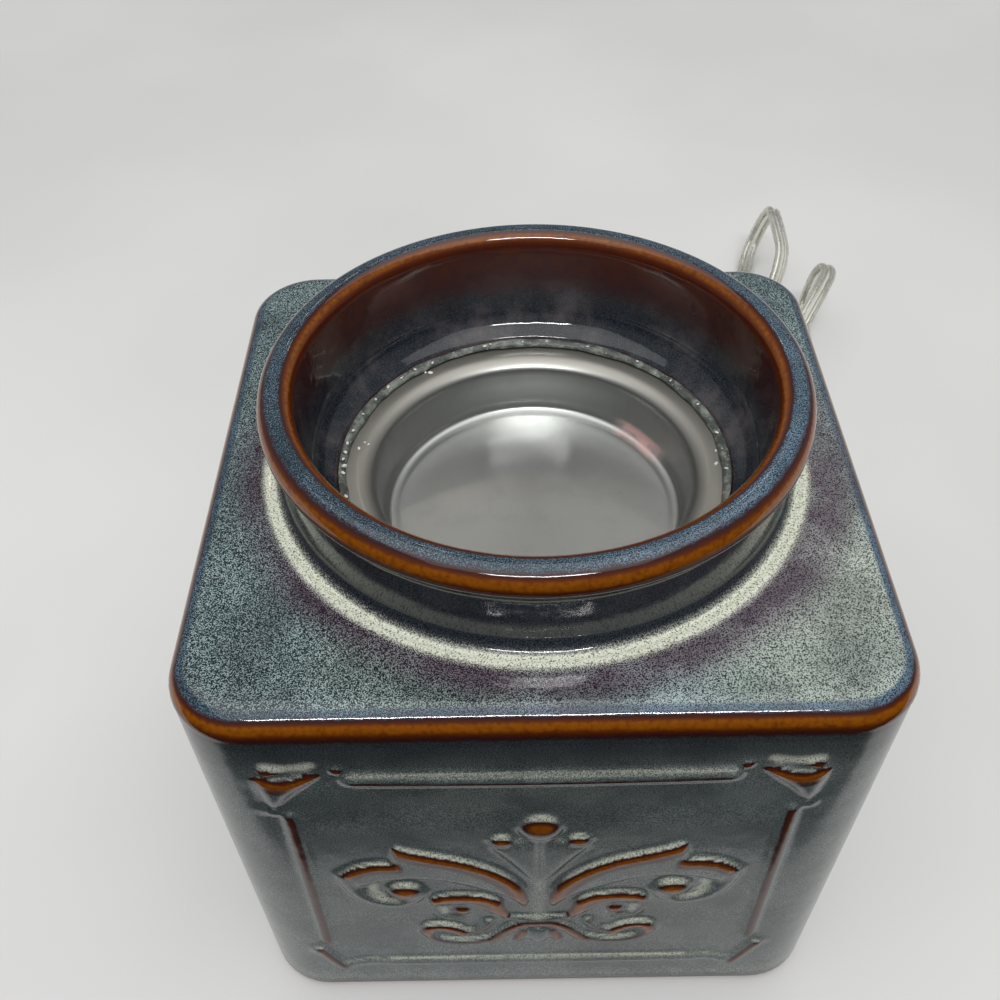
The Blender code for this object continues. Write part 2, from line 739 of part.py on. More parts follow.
def ceramic_body():
    body = add_part("ceramic_body", drafted_box(), "glaze")
    cavity_low = (-CAVITY_X, -CAVITY_Y, -BODY_HEIGHT)
    cavity_high = (CAVITY_X, CAVITY_Y, CEILING_Z)
    cavity = add_guide("cavity_cutter", box_mesh("cavity", cavity_low, cavity_high, CAVITY_CORNER_R))
    bore_r = (LEDGE_R + NECK_R) / 2
    bore_profile = rod_profile(bore_r, CEILING_Z - CUT_OVERRUN, BODY_TOP_Z + CUT_OVERRUN)
    bore = turned_cutter("bore_cutter", bore_profile, BODY_STEPS)
    collar = add_guide("collar", turned_mesh("collar", collar_profile(), closed=True))
    turn(collar, BODY_STEPS)
    inlet = turned_cutter("inlet_cutter", rod_profile(RELIEF_NECK_R + SEAT_GAP, -BODY_WALL, BODY_WALL))
    inlet.location = (RELIEF_X, (CAVITY_Y + BODY_DEPTH / 2) / 2, RELIEF_Z)
    inlet.rotation_euler = (math.radians(90), 0, 0)
    relief = boolean(body, "UNION", ornament())
    relief.use_self = True
    cut(body, cavity, bore)
    boolean(body, "UNION", collar)
    cut(body, inlet)


# Pan, pressed from one sheet, and the bead that seals its edge

def heating_plate():
    top = [(0, PAN_FLOOR_Z)]
    top += arc((PAN_FLOOR_R - PAN_CORNER_R, PAN_FLOOR_Z + PAN_CORNER_R), PAN_CORNER_R, -90, -6, 3)
    top += arc((PAN_WELL_R + PAN_SHOULDER_R, PAN_TOP_Z - PAN_SHOULDER_R), PAN_SHOULDER_R, 174, 90, 4)
    top.append((PAN_R, PAN_TOP_Z))
    pan = add_part("heating_plate", turned_mesh("heating_plate", top, closed=False), "aluminium")
    turn(pan, PAN_STEPS)
    sheet = pan.modifiers.new("sheet", "SOLIDIFY")
    sheet.thickness = PAN_SHEET
    sheet.offset = -1
    sheet.use_even_offset = True


def plate_seal():
    outer = LEDGE_R - SEAT_GAP / 2
    inner = outer - SEAL_WIDTH
    low = PAN_TOP_Z + SEAT_GAP
    profile = (
        (inner + SEAL_WIDTH * 0.45, low + SEAL_HEIGHT * 0.8),
        (inner + SEAL_WIDTH * 0.9, low + SEAL_HEIGHT),
        (outer, low + SEAL_HEIGHT * 0.8),
        (outer, low),
        (inner, low),
    )
    turned("plate_seal", profile, "sealant", PAN_STEPS, closed=True)


# Heater stack under the pan

def clamp_stud():
    head_top = HEATER_TOP_Z
    profile = (
        (0, head_top),
        (STUD_HEAD_R, head_top),
        (STUD_HEAD_R, head_top - STUD_HEAD),
        (STUD_R, head_top - STUD_HEAD),
        (STUD_R, head_top - STUD_LENGTH),
        (0, head_top - STUD_LENGTH),
    )
    turned("clamp_stud", profile, "steel")


def heater_element():
    """A flat disc with a hole for the stud's head, and two tabs at the back for its leads."""
    low = HEATER_TOP_Z - HEATER_THICK
    profile = ring_profile(STUD_HEAD_R + SEAT_GAP, HEATER_R, low, HEATER_TOP_Z)
    disc = turned("heater_element", profile, "mica", 36, closed=True)
    for side in (-1, 1):
        tab_low = (side * HEATER_TAB - 0.002, HEATER_R - 0.004, low + SEAT_GAP)
        tab_high = (side * HEATER_TAB + 0.002, HEATER_R + 0.002, HEATER_TOP_Z - SEAT_GAP)
        tab = add_guide("tab_left" if side < 0 else "tab_right", box_mesh("tab", tab_low, tab_high))
        boolean(disc, "UNION", tab)


def stack_discs():
    hole = STUD_R + FIT_GAP
    stack = (
        ("insulation_pad", hole, PAD_R, PAD_THICK, PAD_TOP_Z, "felt", 32),
        ("clamp_plate", hole, CLAMP_R, CLAMP_THICK, CLAMP_TOP_Z, "steel", 32),
        ("shield_spacer", hole, SPACER_R, SPACER_LENGTH, SPACER_TOP_Z, "steel", SMALL_STEPS),
        ("shield_washer", hole, WASHER_R, WASHER_THICK, WASHER_TOP_Z, "steel", SMALL_STEPS),
    )
    for name, inner, outer, thick, top, finish, steps in stack:
        turned(name, ring_profile(inner, outer, top - thick, top), finish, steps, closed=True)
    for name, top in (("clamp_nut", CLAMP_NUT_TOP_Z), ("shield_nut", SHIELD_NUT_TOP_Z)):
        nut(name, top)


def nut(name, top):
    """A hexagon nut on the stud."""
    across_corners = NUT_AF / math.cos(math.pi / 6) / 2
    hexagon = turned_mesh(name, rod_profile(across_corners, top - NUT_HEIGHT, top), closed=False)
    piece = add_part(name, hexagon, "steel")
    turn(piece, 6, smooth=False)
    bore_profile = rod_profile(STUD_R + FIT_GAP, top - NUT_HEIGHT - CUT_OVERRUN, top + CUT_OVERRUN)
    cut(piece, turned_cutter(name + "_bore", bore_profile))


def heat_shield():
    """A shallow dish that keeps the heat off the leads and the base."""
    top = [(STUD_R + FIT_GAP, SHIELD_TOP_Z)]
    corner = (SHIELD_FLOOR_R - SHIELD_CORNER_R, SHIELD_TOP_Z + SHIELD_CORNER_R)
    top += arc(corner, SHIELD_CORNER_R, -90, -20, 3)
    top.append((SHIELD_RIM_R, SHIELD_TOP_Z + SHIELD_HEIGHT))
    shield = add_part("heat_shield", turned_mesh("heat_shield", top, closed=False), "aluminium")
    turn(shield, 32)
    sheet = shield.modifiers.new("sheet", "SOLIDIFY")
    sheet.thickness = SHIELD_SHEET
    sheet.offset = -1
    sheet.use_even_offset = True


def thermal_fuse():
    """The fuse with its two leads, its sleeve, and the strap that holds them against the clamp plate."""
    sleeve_inner = FUSE_R + SEAT_GAP
    sleeve_outer = sleeve_inner + SLEEVE_WALL
    axis_z = CLAMP_TOP_Z - CLAMP_THICK - SEAT_GAP - sleeve_outer
    half = FUSE_LENGTH / 2
    fuse = turned(
        "thermal_fuse",
        (
            (0, half + FUSE_LEAD),
            (FUSE_LEAD_R, half + FUSE_LEAD),
            (FUSE_LEAD_R, half + FUSE_R / 2),
            (FUSE_R, half),
            (FUSE_R, -half),
            (FUSE_LEAD_R, -half - FUSE_R / 2),
            (FUSE_LEAD_R, -half - FUSE_LEAD),
            (0, -half - FUSE_LEAD),
        ),
        "white_plastic",
        12,
    )
    sleeve_profile = ring_profile(sleeve_inner, sleeve_outer, -SLEEVE_LENGTH / 2, SLEEVE_LENGTH / 2)
    sleeve = turned("fuse_sleeve", sleeve_profile, "wire_skin", 16, closed=True)
    for piece in (fuse, sleeve):
        piece.location = (0, -FUSE_OFFSET, axis_z)
        piece.rotation_euler = (0, math.radians(90), 0)
    fuse_strap(sleeve_outer, axis_z)


def fuse_strap(sleeve_outer, axis_z):
    inner = sleeve_outer + SEAT_GAP
    outer = inner + STRAP_SHEET
    tab_top = CLAMP_TOP_Z - CLAMP_THICK - SEAT_GAP - axis_z
    tab_low = tab_top - STRAP_SHEET
    outline = [(outer + STRAP_TAB, tab_low), (outer + STRAP_TAB, tab_top), (inner, tab_top)]
    outline += arc((0, 0), inner, 0, -180, 8)
    outline += [(-inner, tab_top), (-outer - STRAP_TAB, tab_top), (-outer - STRAP_TAB, tab_low)]
    outline += [(-outer, tab_low)]
    outline += arc((0, 0), outer, 180, 360, 8)
    outline += [(outer, tab_low)]
    sheet = bpy.data.curves.new("fuse_strap", "CURVE")
    sheet.dimensions = "2D"
    sheet.fill_mode = "BOTH"
    sheet.extrude = STRAP_WIDTH / 2
    spline = sheet.splines.new("POLY")
    spline.points.add(len(outline) - 1)
    for point, (x, y) in zip(spline.points, outline):
        point.co = (x, y, 0, 1)
    spline.use_cyclic_u = True
    strap = add_part("fuse_strap", sheet, "steel")
    strap.location = (0, -FUSE_OFFSET, axis_z)
    strap.rotation_euler = (math.radians(90), 0, math.radians(90))


# Base plate, its corner blocks, screws and feet

def corner_blocks():
    for name, sx, sy in CORNERS:
        near_x = CAVITY_X - FIT_GAP - BLOCK_SIDE
        near_y = CAVITY_Y - FIT_GAP - BLOCK_SIDE
        far_x = CAVITY_X - FIT_GAP
        far_y = CAVITY_Y - FIT_GAP
        low = (min(sx * near_x, sx * far_x), min(sy * near_y, sy * far_y), BLOCK_BOTTOM_Z)
        high = (max(sx * near_x, sx * far_x), max(sy * near_y, sy * far_y), BLOCK_BOTTOM_Z + BLOCK_HEIGHT)
        mesh = box_mesh("block", low, high, CAVITY_CORNER_R)
        block = add_part("corner_block_" + name, mesh, "white_plastic")
        pilot_r = SCREW_R + SEAT_GAP
        depth = BLOCK_BOTTOM_Z + SCREW_BITE + FIT_GAP
        pilot = turned_cutter("pilot_" + name, rod_profile(pilot_r, 0, depth), 12)
        pilot.location = (sx * SCREW_X, sy * SCREW_Y, 0)
        cut(block, pilot)


def base_plate():
    side_x = CAVITY_X - FIT_GAP
    side_y = CAVITY_Y - FIT_GAP
    low = (-side_x, -side_y, BASE_BOTTOM_Z)
    high = (side_x, side_y, BASE_TOP_Z)
    mesh = box_mesh("base_plate", low, high, CAVITY_CORNER_R, BASE_EDGE_R, 1)
    plate = add_part("base_plate", mesh, "black_plastic")
    for name, sx, sy in CORNERS:
        hole_profile = rod_profile(SCREW_R + FIT_GAP, 0, BASE_TOP_Z + CUT_OVERRUN)
        hole = turned_cutter("hole_" + name, hole_profile, 12)
        hole.location = (sx * SCREW_X, sy * SCREW_Y, 0)
        cut(plate, hole)
    for i in range(VENT_COUNT):
        x = (i - (VENT_COUNT - 1) / 2) * VENT_PITCH
        low = (x - VENT_WIDTH / 2, -VENT_LENGTH / 2, 0)
        high = (x + VENT_WIDTH / 2, VENT_LENGTH / 2, BASE_TOP_Z + CUT_OVERRUN)
        vent = add_guide(f"vent_{i + 1}", box_mesh("vent", low, high, VENT_WIDTH / 2 * 0.98))
        cut(plate, vent)


def feet_and_screws():
    foot_top = BASE_BOTTOM_Z - SEAT_GAP
    head_top = SCREW_LIFT + SCREW_HEAD
    for name, sx, sy in CORNERS:
        place = (sx * SCREW_X, sy * SCREW_Y, 0)
        outside = [(SCREW_R + FIT_GAP, foot_top), (FOOT_R, foot_top)]
        outside += arc((FOOT_R - FOOT_EDGE_R, FOOT_EDGE_R), FOOT_EDGE_R, 0, -90, 2)
        counterbore = SCREW_HEAD_R + FIT_GAP
        shoulder = head_top + SEAT_GAP
        inside = [(counterbore, 0), (counterbore, shoulder), (SCREW_R + FIT_GAP, shoulder)]
        foot = turned("rubber_foot_" + name, outside + inside, "rubber", 16, closed=True)
        foot.location = place
        screw = turned(
            "base_screw_" + name,
            (
                (0, BLOCK_BOTTOM_Z + SCREW_BITE),
                (SCREW_R, BLOCK_BOTTOM_Z + SCREW_BITE - SCREW_R),
                (SCREW_R, head_top),
                (SCREW_HEAD_R, head_top),
                (SCREW_HEAD_R, SCREW_LIFT),
                (0, SCREW_LIFT),
            ),
            "steel",
            12,
        )
        screw.location = place


# Strain relief, and the leads inside the body

def strain_relief():
    """Turned about its own Z axis, which is then laid along -Y: the inside end is the top."""
    inner_face = CAVITY_Y - SEAT_GAP
    outer_face = body_half(BODY_DEPTH / 2, RELIEF_Z) + RELIEF_FLANGE_R * BODY_DRAFT / BODY_HEIGHT + SEAT_GAP
    tip = outer_face + RELIEF_FLANGE + RELIEF_TAIL
    profile = (
        (0, -inner_face + RELIEF_FLANGE),
        (RELIEF_FLANGE_R, -inner_face + RELIEF_FLANGE),
        (RELIEF_FLANGE_R, -inner_face),
        (RELIEF_NECK_R, -inner_face),
        (RELIEF_NECK_R, -outer_face),
        (RELIEF_FLANGE_R, -outer_face),
        (RELIEF_FLANGE_R, -outer_face - RELIEF_FLANGE),
        (RELIEF_TAIL_R, -outer_face - RELIEF_FLANGE),
        (RELIEF_TIP_R, -tip),
        (0, -tip),
    )
    relief = turned("strain_relief", profile, "clear_pvc")
    relief.location = (RELIEF_X, 0, RELIEF_Z)
    relief.rotation_euler = (math.radians(90), 0, 0)
    return inner_face - RELIEF_FLANGE, tip


def connectors_and_leads(relief_inside):
    """Two closed-end connectors on the base plate, with the leads that meet in their open ends."""
    lie_z = BASE_TOP_Z + SEAT_GAP + CONNECTOR_R
    start = relief_inside - SEAT_GAP
    end = CONNECTOR_Y + SEAT_GAP
    for name, x, side in (("neutral", CONNECTOR_X, -1), ("live", CONNECTOR_X + CONNECTOR_SPACING, 1)):
        core_x = RELIEF_X + side * CORD_WIDTH / 4
        mouth_x = x - side * CONNECTOR_R / 2
        profile = (
            (0, 0),
            (CONNECTOR_R, 0),
            (CONNECTOR_R, -CONNECTOR_LENGTH * 0.6),
            (CONNECTOR_TIP_R, -CONNECTOR_LENGTH),
            (0, -CONNECTOR_LENGTH),
        )
        connector = turned("crimp_connector_" + name, profile, "white_plastic", 16)
        connector.location = (x, CONNECTOR_Y, lie_z)
        connector.rotation_euler = (math.radians(-90), 0, 0)
        core = (
            (core_x, start, RELIEF_Z),
            (core_x, start - 0.004, RELIEF_Z),
            ((core_x + mouth_x) / 2, (start + end) / 2, (RELIEF_Z + lie_z) / 2 + 0.001),
            (mouth_x, end + 0.004, lie_z),
            (mouth_x, end, lie_z),
        )
        wire("cord_core_" + name, core, LEAD_R, "wire_skin", steps=4)
    heater_leads(end, lie_z)


def heater_leads(end, lie_z):
    tab_z = HEATER_TOP_Z - HEATER_THICK / 2
    tab_y = HEATER_R + 0.002 + SEAT_GAP
    down_y = SHIELD_RIM_R + 0.0045
    fuse_z = CLAMP_TOP_Z - CLAMP_THICK - 2 * SEAT_GAP - FUSE_R - SLEEVE_WALL
    fuse_end = FUSE_LENGTH / 2 + FUSE_LEAD + SEAT_GAP
    neutral_x = CONNECTOR_X - CONNECTOR_R / 2
    live_x = CONNECTOR_X + CONNECTOR_SPACING + CONNECTOR_R / 2
    rim = SHIELD_RIM_R
    rim_z = SHIELD_TOP_Z + SHIELD_HEIGHT + 0.003
    drop = tab_z - lie_z
    wire(
        "lead_neutral",
        (
            (HEATER_TAB, tab_y, tab_z),
            (HEATER_TAB, tab_y + 0.003, tab_z),
            (HEATER_TAB + 0.004, down_y, tab_z - 0.004),
            (HEATER_TAB + 0.009, down_y + 0.0005, lie_z + 0.675 * drop),
            (neutral_x - 0.002, down_y - 0.002, lie_z + 0.316 * drop),
            (neutral_x - 0.001, end + 0.014, lie_z + 0.008),
            (neutral_x, end + 0.004, lie_z),
            (neutral_x, end, lie_z),
        ),
        LEAD_R,
        "wire_skin",
    )
    wire(
        "lead_live",
        (
            (fuse_end, -FUSE_OFFSET, fuse_z),
            (fuse_end + 0.003, -FUSE_OFFSET, fuse_z),
            (0.632 * rim, -FUSE_OFFSET + 0.001, fuse_z),
            (0.788 * rim, -0.394 * rim, fuse_z + 0.0015),
            (0.871 * rim, -0.368 * rim, rim_z - 0.001),
            (1.015 * rim, -0.324 * rim, rim_z + 0.001),
            (1.162 * rim, -0.206 * rim, rim_z - 0.004),
            (1.221 * rim, 0.118 * rim, lie_z + 0.675 * drop),
            (1.206 * rim, 0.647 * rim, lie_z + 0.341 * drop),
            (live_x + 0.002, end + 0.013, lie_z + 0.009),
            (live_x, end + 0.004, lie_z),
            (live_x, end, lie_z),
        ),
        LEAD_R,
        "wire_skin",
    )
    wire(
        "lead_fuse_to_heater",
        (
            (-fuse_end, -FUSE_OFFSET, fuse_z),
            (-fuse_end - 0.003, -FUSE_OFFSET, fuse_z),
            (-0.632 * rim, -FUSE_OFFSET + 0.004, fuse_z),
            (-0.838 * rim, -0.059 * rim, fuse_z + 0.001),
            (-0.809 * rim, 0.441 * rim, tab_z - 0.004),
            (-0.441 * rim, tab_y + 0.0020, tab_z - 0.001),
            (-HEATER_TAB - 0.003, tab_y + 0.0026, tab_z),
            (-HEATER_TAB, tab_y + 0.0012, tab_z),
            (-HEATER_TAB, tab_y, tab_z),
        ),
        LEAD_R,
        "wire_skin",
    )


# Switch on the cord: two halves of a case, a rocker on its pin, and the contacts

def switch_box(name, low_z, high_z, inset, corner_r, edge_r, guide=False, bottom_edge=True):
    half_x = SWITCH_LENGTH / 2 - inset
    half_y = SWITCH_WIDTH / 2 - inset
    low = (SWITCH_X - half_x, SWITCH_Y - half_y, low_z)
    high = (SWITCH_X + half_x, SWITCH_Y + half_y, high_z)
    mesh = box_mesh(name, low, high, corner_r, edge_r, 3, bottom_edge)
    return add_guide(name, mesh) if guide else add_part(name, mesh, "white_plastic")


def switch_case():
    inner_r = SWITCH_END_R - SWITCH_WALL
    bottom = switch_box("switch_case_bottom", 0, SWITCH_HEIGHT, 0, SWITCH_END_R, SWITCH_EDGE_R)
    top = switch_box("switch_case_top", 0, SWITCH_HEIGHT, 0, SWITCH_END_R, SWITCH_EDGE_R)
    hollow = switch_box(
        "switch_hollow", SWITCH_WALL, SWITCH_HEIGHT - SWITCH_WALL, SWITCH_WALL, inner_r, 0.0, guide=True
    )
    above = switch_box("switch_above", SWITCH_SPLIT, SWITCH_HEIGHT * 2, -0.002, 0, 0, guide=True)
    below = switch_box("switch_below", -SWITCH_HEIGHT, SWITCH_SPLIT + SEAT_GAP, -0.002, 0, 0, guide=True)
    cut(bottom, hollow, above)
    cut(top, hollow, below)
    switch_window(top)
    switch_lugs(top)
    switch_fixings(bottom, top)


def switch_window(top):
    half_x = ROCKER_LENGTH / 2 + 2 * FIT_GAP
    half_y = ROCKER_WIDTH / 2 + FIT_GAP
    low = (SWITCH_X - half_x, SWITCH_Y - half_y, SWITCH_HEIGHT - 2 * SWITCH_WALL)
    high = (SWITCH_X + half_x, SWITCH_Y + half_y, SWITCH_HEIGHT + SWITCH_WALL)
    cut(top, add_guide("window_cutter", box_mesh("window", low, high)))


def switch_lugs(top):
    """Two ears under the window, bored for the rocker's pin."""
    near = ROCKER_WIDTH / 2 + LUG_GAP
    far = SWITCH_WIDTH / 2 - SWITCH_WALL / 2
    for name, side in (("front", -1), ("back", 1)):
        y = sorted((SWITCH_Y + side * near, SWITCH_Y + side * far))
        low = (SWITCH_X - LUG_LENGTH / 2, y[0], PIVOT_Z - LUG_DEPTH)
        high = (SWITCH_X + LUG_LENGTH / 2, y[1], SWITCH_HEIGHT - SWITCH_WALL / 2)
        boolean(top, "UNION", add_guide("lug_" + name, box_mesh("lug", low, high)))
    reach = ROCKER_WIDTH / 2 + ROCKER_PIVOT_REACH + SEAT_GAP
    bore = turned_cutter("pivot_bore", rod_profile(ROCKER_PIVOT_R + SEAT_GAP, -reach, reach), 16)
    bore.location = (SWITCH_X, SWITCH_Y, PIVOT_Z)
    bore.rotation_euler = (math.radians(90), 0, 0)
    cut(top, bore)


def switch_fixings(bottom, top):
    """Two screws, from below into bosses of the upper half, on a diagonal."""
    screw_top = SWITCH_HEIGHT - 2 * SWITCH_WALL
    head_low = SWITCH_WALL
    head_top = head_low + SWITCH_SCREW_HEAD
    bores = []
    for name, side in (("a", -1), ("b", 1)):
        place = (SWITCH_X + side * SWITCH_SCREW_X, SWITCH_Y - side * SWITCH_SCREW_Y, 0)
        boss = turned_cutter(
            "boss_" + name,
            rod_profile(SWITCH_BOSS_R, SWITCH_SPLIT + SEAT_GAP, SWITCH_HEIGHT - SWITCH_WALL / 2),
            12,
        )
        post = turned_cutter(
            "post_" + name, rod_profile(SWITCH_BOSS_R + SEAT_GAP, SWITCH_WALL / 2, SWITCH_SPLIT), 12
        )
        bore = turned_cutter(
            "fixing_bore_" + name,
            (
                (0, screw_top + SEAT_GAP),
                (SWITCH_SCREW_R + SEAT_GAP, screw_top + SEAT_GAP),
                (SWITCH_SCREW_R + SEAT_GAP, head_top + SEAT_GAP),
                (SWITCH_SCREW_HEAD_R + SEAT_GAP, head_top + SEAT_GAP),
                (SWITCH_SCREW_HEAD_R + SEAT_GAP, -SWITCH_WALL),
                (0, -SWITCH_WALL),
            ),
            12,
        )
        screw = turned(
            "switch_screw_" + name,
            (
                (0, screw_top),
                (SWITCH_SCREW_R, screw_top - SWITCH_SCREW_R),
                (SWITCH_SCREW_R, head_top),
                (SWITCH_SCREW_HEAD_R, head_top),
                (SWITCH_SCREW_HEAD_R, head_low),
                (0, head_low),
            ),
            "steel",
            12,
        )
        for piece in (boss, post, bore, screw):
            piece.location = place
        boolean(bottom, "UNION", post)
        boolean(top, "UNION", boss)
        bores.append(bore)
    cut(bottom, *bores)
    cut(top, *bores)


def switch_rocker():
    """Off at rest: the rocker and its contact arm lean by the tilt, with the +X end up."""
    half = ROCKER_LENGTH / 2
    outline = (
        (-half, ROCKER_CROWN),
        (-half * 0.92, ROCKER_CROWN - 0.0042),
        (-half * 0.62, -ROCKER_BELLY),
        (half * 0.62, -ROCKER_BELLY),
        (half * 0.92, ROCKER_CROWN - 0.0042),
        (half, ROCKER_CROWN),
        (half * 0.5, (ROCKER_CROWN + ROCKER_WAIST) / 2 - 0.0002),
        (0, ROCKER_WAIST),
        (-half * 0.5, (ROCKER_CROWN + ROCKER_WAIST) / 2 - 0.0002),
    )
    bm = bmesh.new()
    front = [bm.verts.new((x, -ROCKER_WIDTH / 2, z)) for x, z in outline]
    face = bm.faces.new(front)
    grown = bmesh.ops.extrude_face_region(bm, geom=[face])
    moved = [g for g in grown["geom"] if isinstance(g, bmesh.types.BMVert)]
    bmesh.ops.translate(bm, vec=(0, ROCKER_WIDTH, 0), verts=moved)
    bmesh.ops.recalc_face_normals(bm, faces=bm.faces)
    rocker = add_part("switch_rocker", to_mesh("switch_rocker", bm), "black_plastic")
    reach = ROCKER_WIDTH / 2 + ROCKER_PIVOT_REACH
    pin = turned_cutter("rocker_pin", rod_profile(ROCKER_PIVOT_R, -reach, reach), 16)
    pin.rotation_euler = (math.radians(90), 0, 0)
    pin.parent = rocker
    boolean(rocker, "UNION", pin)
    arm_top = -ROCKER_BELLY - SEAT_GAP
    low = (-ARM_LENGTH / 2, -ARM_WIDTH / 2, arm_top - ARM_THICK)
    high = (ARM_LENGTH / 2, ARM_WIDTH / 2, arm_top)
    arm = add_part("switch_arm", box_mesh("switch_arm", low, high), "brass")
    for piece in (rocker, arm):
        piece.location = (SWITCH_X, SWITCH_Y, PIVOT_Z)
        piece.rotation_euler = (0, math.radians(-ROCKER_TILT), 0)


def switch_contacts():
    """The arm rocks on the middle contact's post, and its +X end comes down on the end contact's."""
    floor = SWITCH_WALL + SEAT_GAP
    swing = ARM_LENGTH / 2 * math.sin(math.radians(ROCKER_TILT))
    under_arm = PIVOT_Z - ROCKER_BELLY - SEAT_GAP - ARM_THICK - SEAT_GAP
    contacts = (
        ("middle", CONTACT_THICK / 2, -1, under_arm),
        ("end", CONTACT_X, 1, under_arm - swing),
    )
    for name, inner, side, post_top in contacts:
        x = sorted((inner, inner + side * CONTACT_LENGTH))
        low = (SWITCH_X + x[0], SWITCH_Y - CONTACT_WIDTH / 2, floor)
        high = (SWITCH_X + x[1], SWITCH_Y + CONTACT_WIDTH / 2, floor + CONTACT_THICK)
        strip = add_part("switch_contact_" + name, box_mesh("contact", low, high), "brass")
        post = sorted((inner, inner + side * CONTACT_THICK))
        low = (SWITCH_X + post[0], SWITCH_Y - CONTACT_WIDTH / 2, floor + CONTACT_THICK / 2)
        high = (SWITCH_X + post[1], SWITCH_Y + CONTACT_WIDTH / 2, post_top)
        boolean(strip, "UNION", add_guide("contact_post_" + name, box_mesh("post", low, high)))
    switch_leads(floor)


def switch_leads(floor):
    """The live core goes through the contacts, and the neutral core runs past them."""
    end = SWITCH_LENGTH / 2 - SWITCH_WALL - SEAT_GAP
    core = CORD_WIDTH / 4
    strip_z = floor + LEAD_R
    middle_end = CONTACT_THICK / 2 - CONTACT_LENGTH - SEAT_GAP
    end_end = CONTACT_X + CONTACT_LENGTH + SEAT_GAP
    routes = (
        (
            "switch_lead_in",
            (
                (-end, core, SWITCH_SPLIT),
                (-end + 0.0030, core, SWITCH_SPLIT - 0.0008),
                (-0.0185, 0.0002, 0.0052),
                (middle_end - 0.0040, 0, strip_z + 0.0005),
                (middle_end, 0, strip_z),
            ),
        ),
        (
            "switch_lead_out",
            (
                (end_end, 0, strip_z),
                (end_end + 0.0025, 0, strip_z + 0.0002),
                (0.0208, -0.0006, 0.0046),
                (end - 0.0022, -core, SWITCH_SPLIT - 0.0010),
                (end, -core, SWITCH_SPLIT),
            ),
        ),
        (
            "switch_lead_neutral",
            (
                (-end, -core, SWITCH_SPLIT),
                (-end + 0.0026, -core - 0.0003, SWITCH_SPLIT - 0.0010),
                (-0.0180, -0.0042, 0.0048),
                (-0.0090, -0.0060, 0.0042),
                (0.0020, -0.0060, 0.0042),
                (0.0090, -0.0046, 0.0046),
                (0.0140, -0.0012, 0.0056),
                (0.0190, 0.0008, 0.0066),
                (end - 0.0026, core, SWITCH_SPLIT - 0.0004),
                (end, core, SWITCH_SPLIT),
            ),
        ),
    )
    for name, route in routes:
        wire(name, [(SWITCH_X + x, SWITCH_Y + y, z) for x, y, z in route], LEAD_R, "wire_skin", steps=2)


# Plug

def plug_matrix():
    """From the plug's own axes, X along the blades, to its place on the floor."""
    place = Matrix.Translation((*PLUG_POINT, PLUG_HEIGHT / 2 + SEAT_GAP / 3))
    return place @ Matrix.Rotation(math.radians(PLUG_HEADING), 4, "Z")


def plug():
    bm = bmesh.new()
    bmesh.ops.create_cube(bm, size=1)
    for vert in bm.verts:
        front = vert.co.x > 0
        width = PLUG_WIDTH if front else PLUG_TAIL_WIDTH
        height = PLUG_HEIGHT if front else PLUG_TAIL_HEIGHT
        vert.co.x = PLUG_LENGTH if front else 0
        vert.co.y = math.copysign(width / 2, vert.co.y)
        vert.co.z = math.copysign(height / 2, vert.co.z)
    long_edges = [e for e in bm.edges if abs(e.verts[0].co.x - e.verts[1].co.x) > 1e-4]
    bevel(bm, long_edges, PLUG_EDGE_R, 3)
    body = add_part("plug_body", to_mesh("plug_body", bm), "clear_pvc")
    body.matrix_world = plug_matrix()
    for name, side, width in (("live", -1, BLADE_WIDTH), ("neutral", 1, WIDE_BLADE_WIDTH)):
        y = side * BLADE_SPACING / 2
        seat = PLUG_LENGTH - BLADE_SEAT
        low = (seat, y - BLADE_THICK / 2 - SEAT_GAP, -width / 2 - SEAT_GAP)
        high = (PLUG_LENGTH + 0.002, y + BLADE_THICK / 2 + SEAT_GAP, width / 2 + SEAT_GAP)
        pocket = add_guide("pocket_" + name, box_mesh("pocket", low, high))
        pocket.matrix_world = plug_matrix()
        cut(body, pocket)
        low = (seat + SEAT_GAP, y - BLADE_THICK / 2, -width / 2)
        high = (PLUG_LENGTH + BLADE_LENGTH, y + BLADE_THICK / 2, width / 2)
        blade = add_part("plug_blade_" + name, box_mesh("blade", low, high), "brass")
        hole = turned_cutter("blade_hole_" + name, rod_profile(BLADE_HOLE_R, -0.003, 0.003), 12)
        hole_x = PLUG_LENGTH + BLADE_LENGTH - 3 * BLADE_HOLE_R
        turned_hole = Matrix.Translation((hole_x, y, 0)) @ Matrix.Rotation(math.radians(90), 4, "X")
        hole.matrix_world = plug_matrix() @ turned_hole
        blade.matrix_world = plug_matrix()
        cut(blade, hole)


# Cord: the lead to the switch, the link to the coil, the coil, and the tail to the plug

def coil_rows():
    """Winds in on the floor layer and out again on the layer above, climbing where it turns back."""
    whole_turns = COIL_TURNS + (COIL_START - COIL_END) / 360
    count = round(whole_turns * COIL_TURN_POINTS)
    low_z = COIL_LIFT + CORD_WIDTH / 2
    high_z = low_z + CORD_WIDTH + COIL_LAYER_GAP
    rows = []
    for i in range(count + 1):
        turns = whole_turns * i / count
        angle = math.radians(COIL_START - 360 * turns)
        in_from_end = min(turns, whole_turns - turns)
        radius = COIL_R - COIL_STEP * in_from_end
        climb = min(max((turns - whole_turns / 2) * 2 + 0.5, 0), 1)
        climb = climb * climb * (3 - 2 * climb)
        rows.append(
            (
                COIL_X + radius * math.cos(angle),
                COIL_Y + radius * math.sin(angle),
                low_z + (high_z - low_z) * climb,
                90,
            )
        )
    return rows


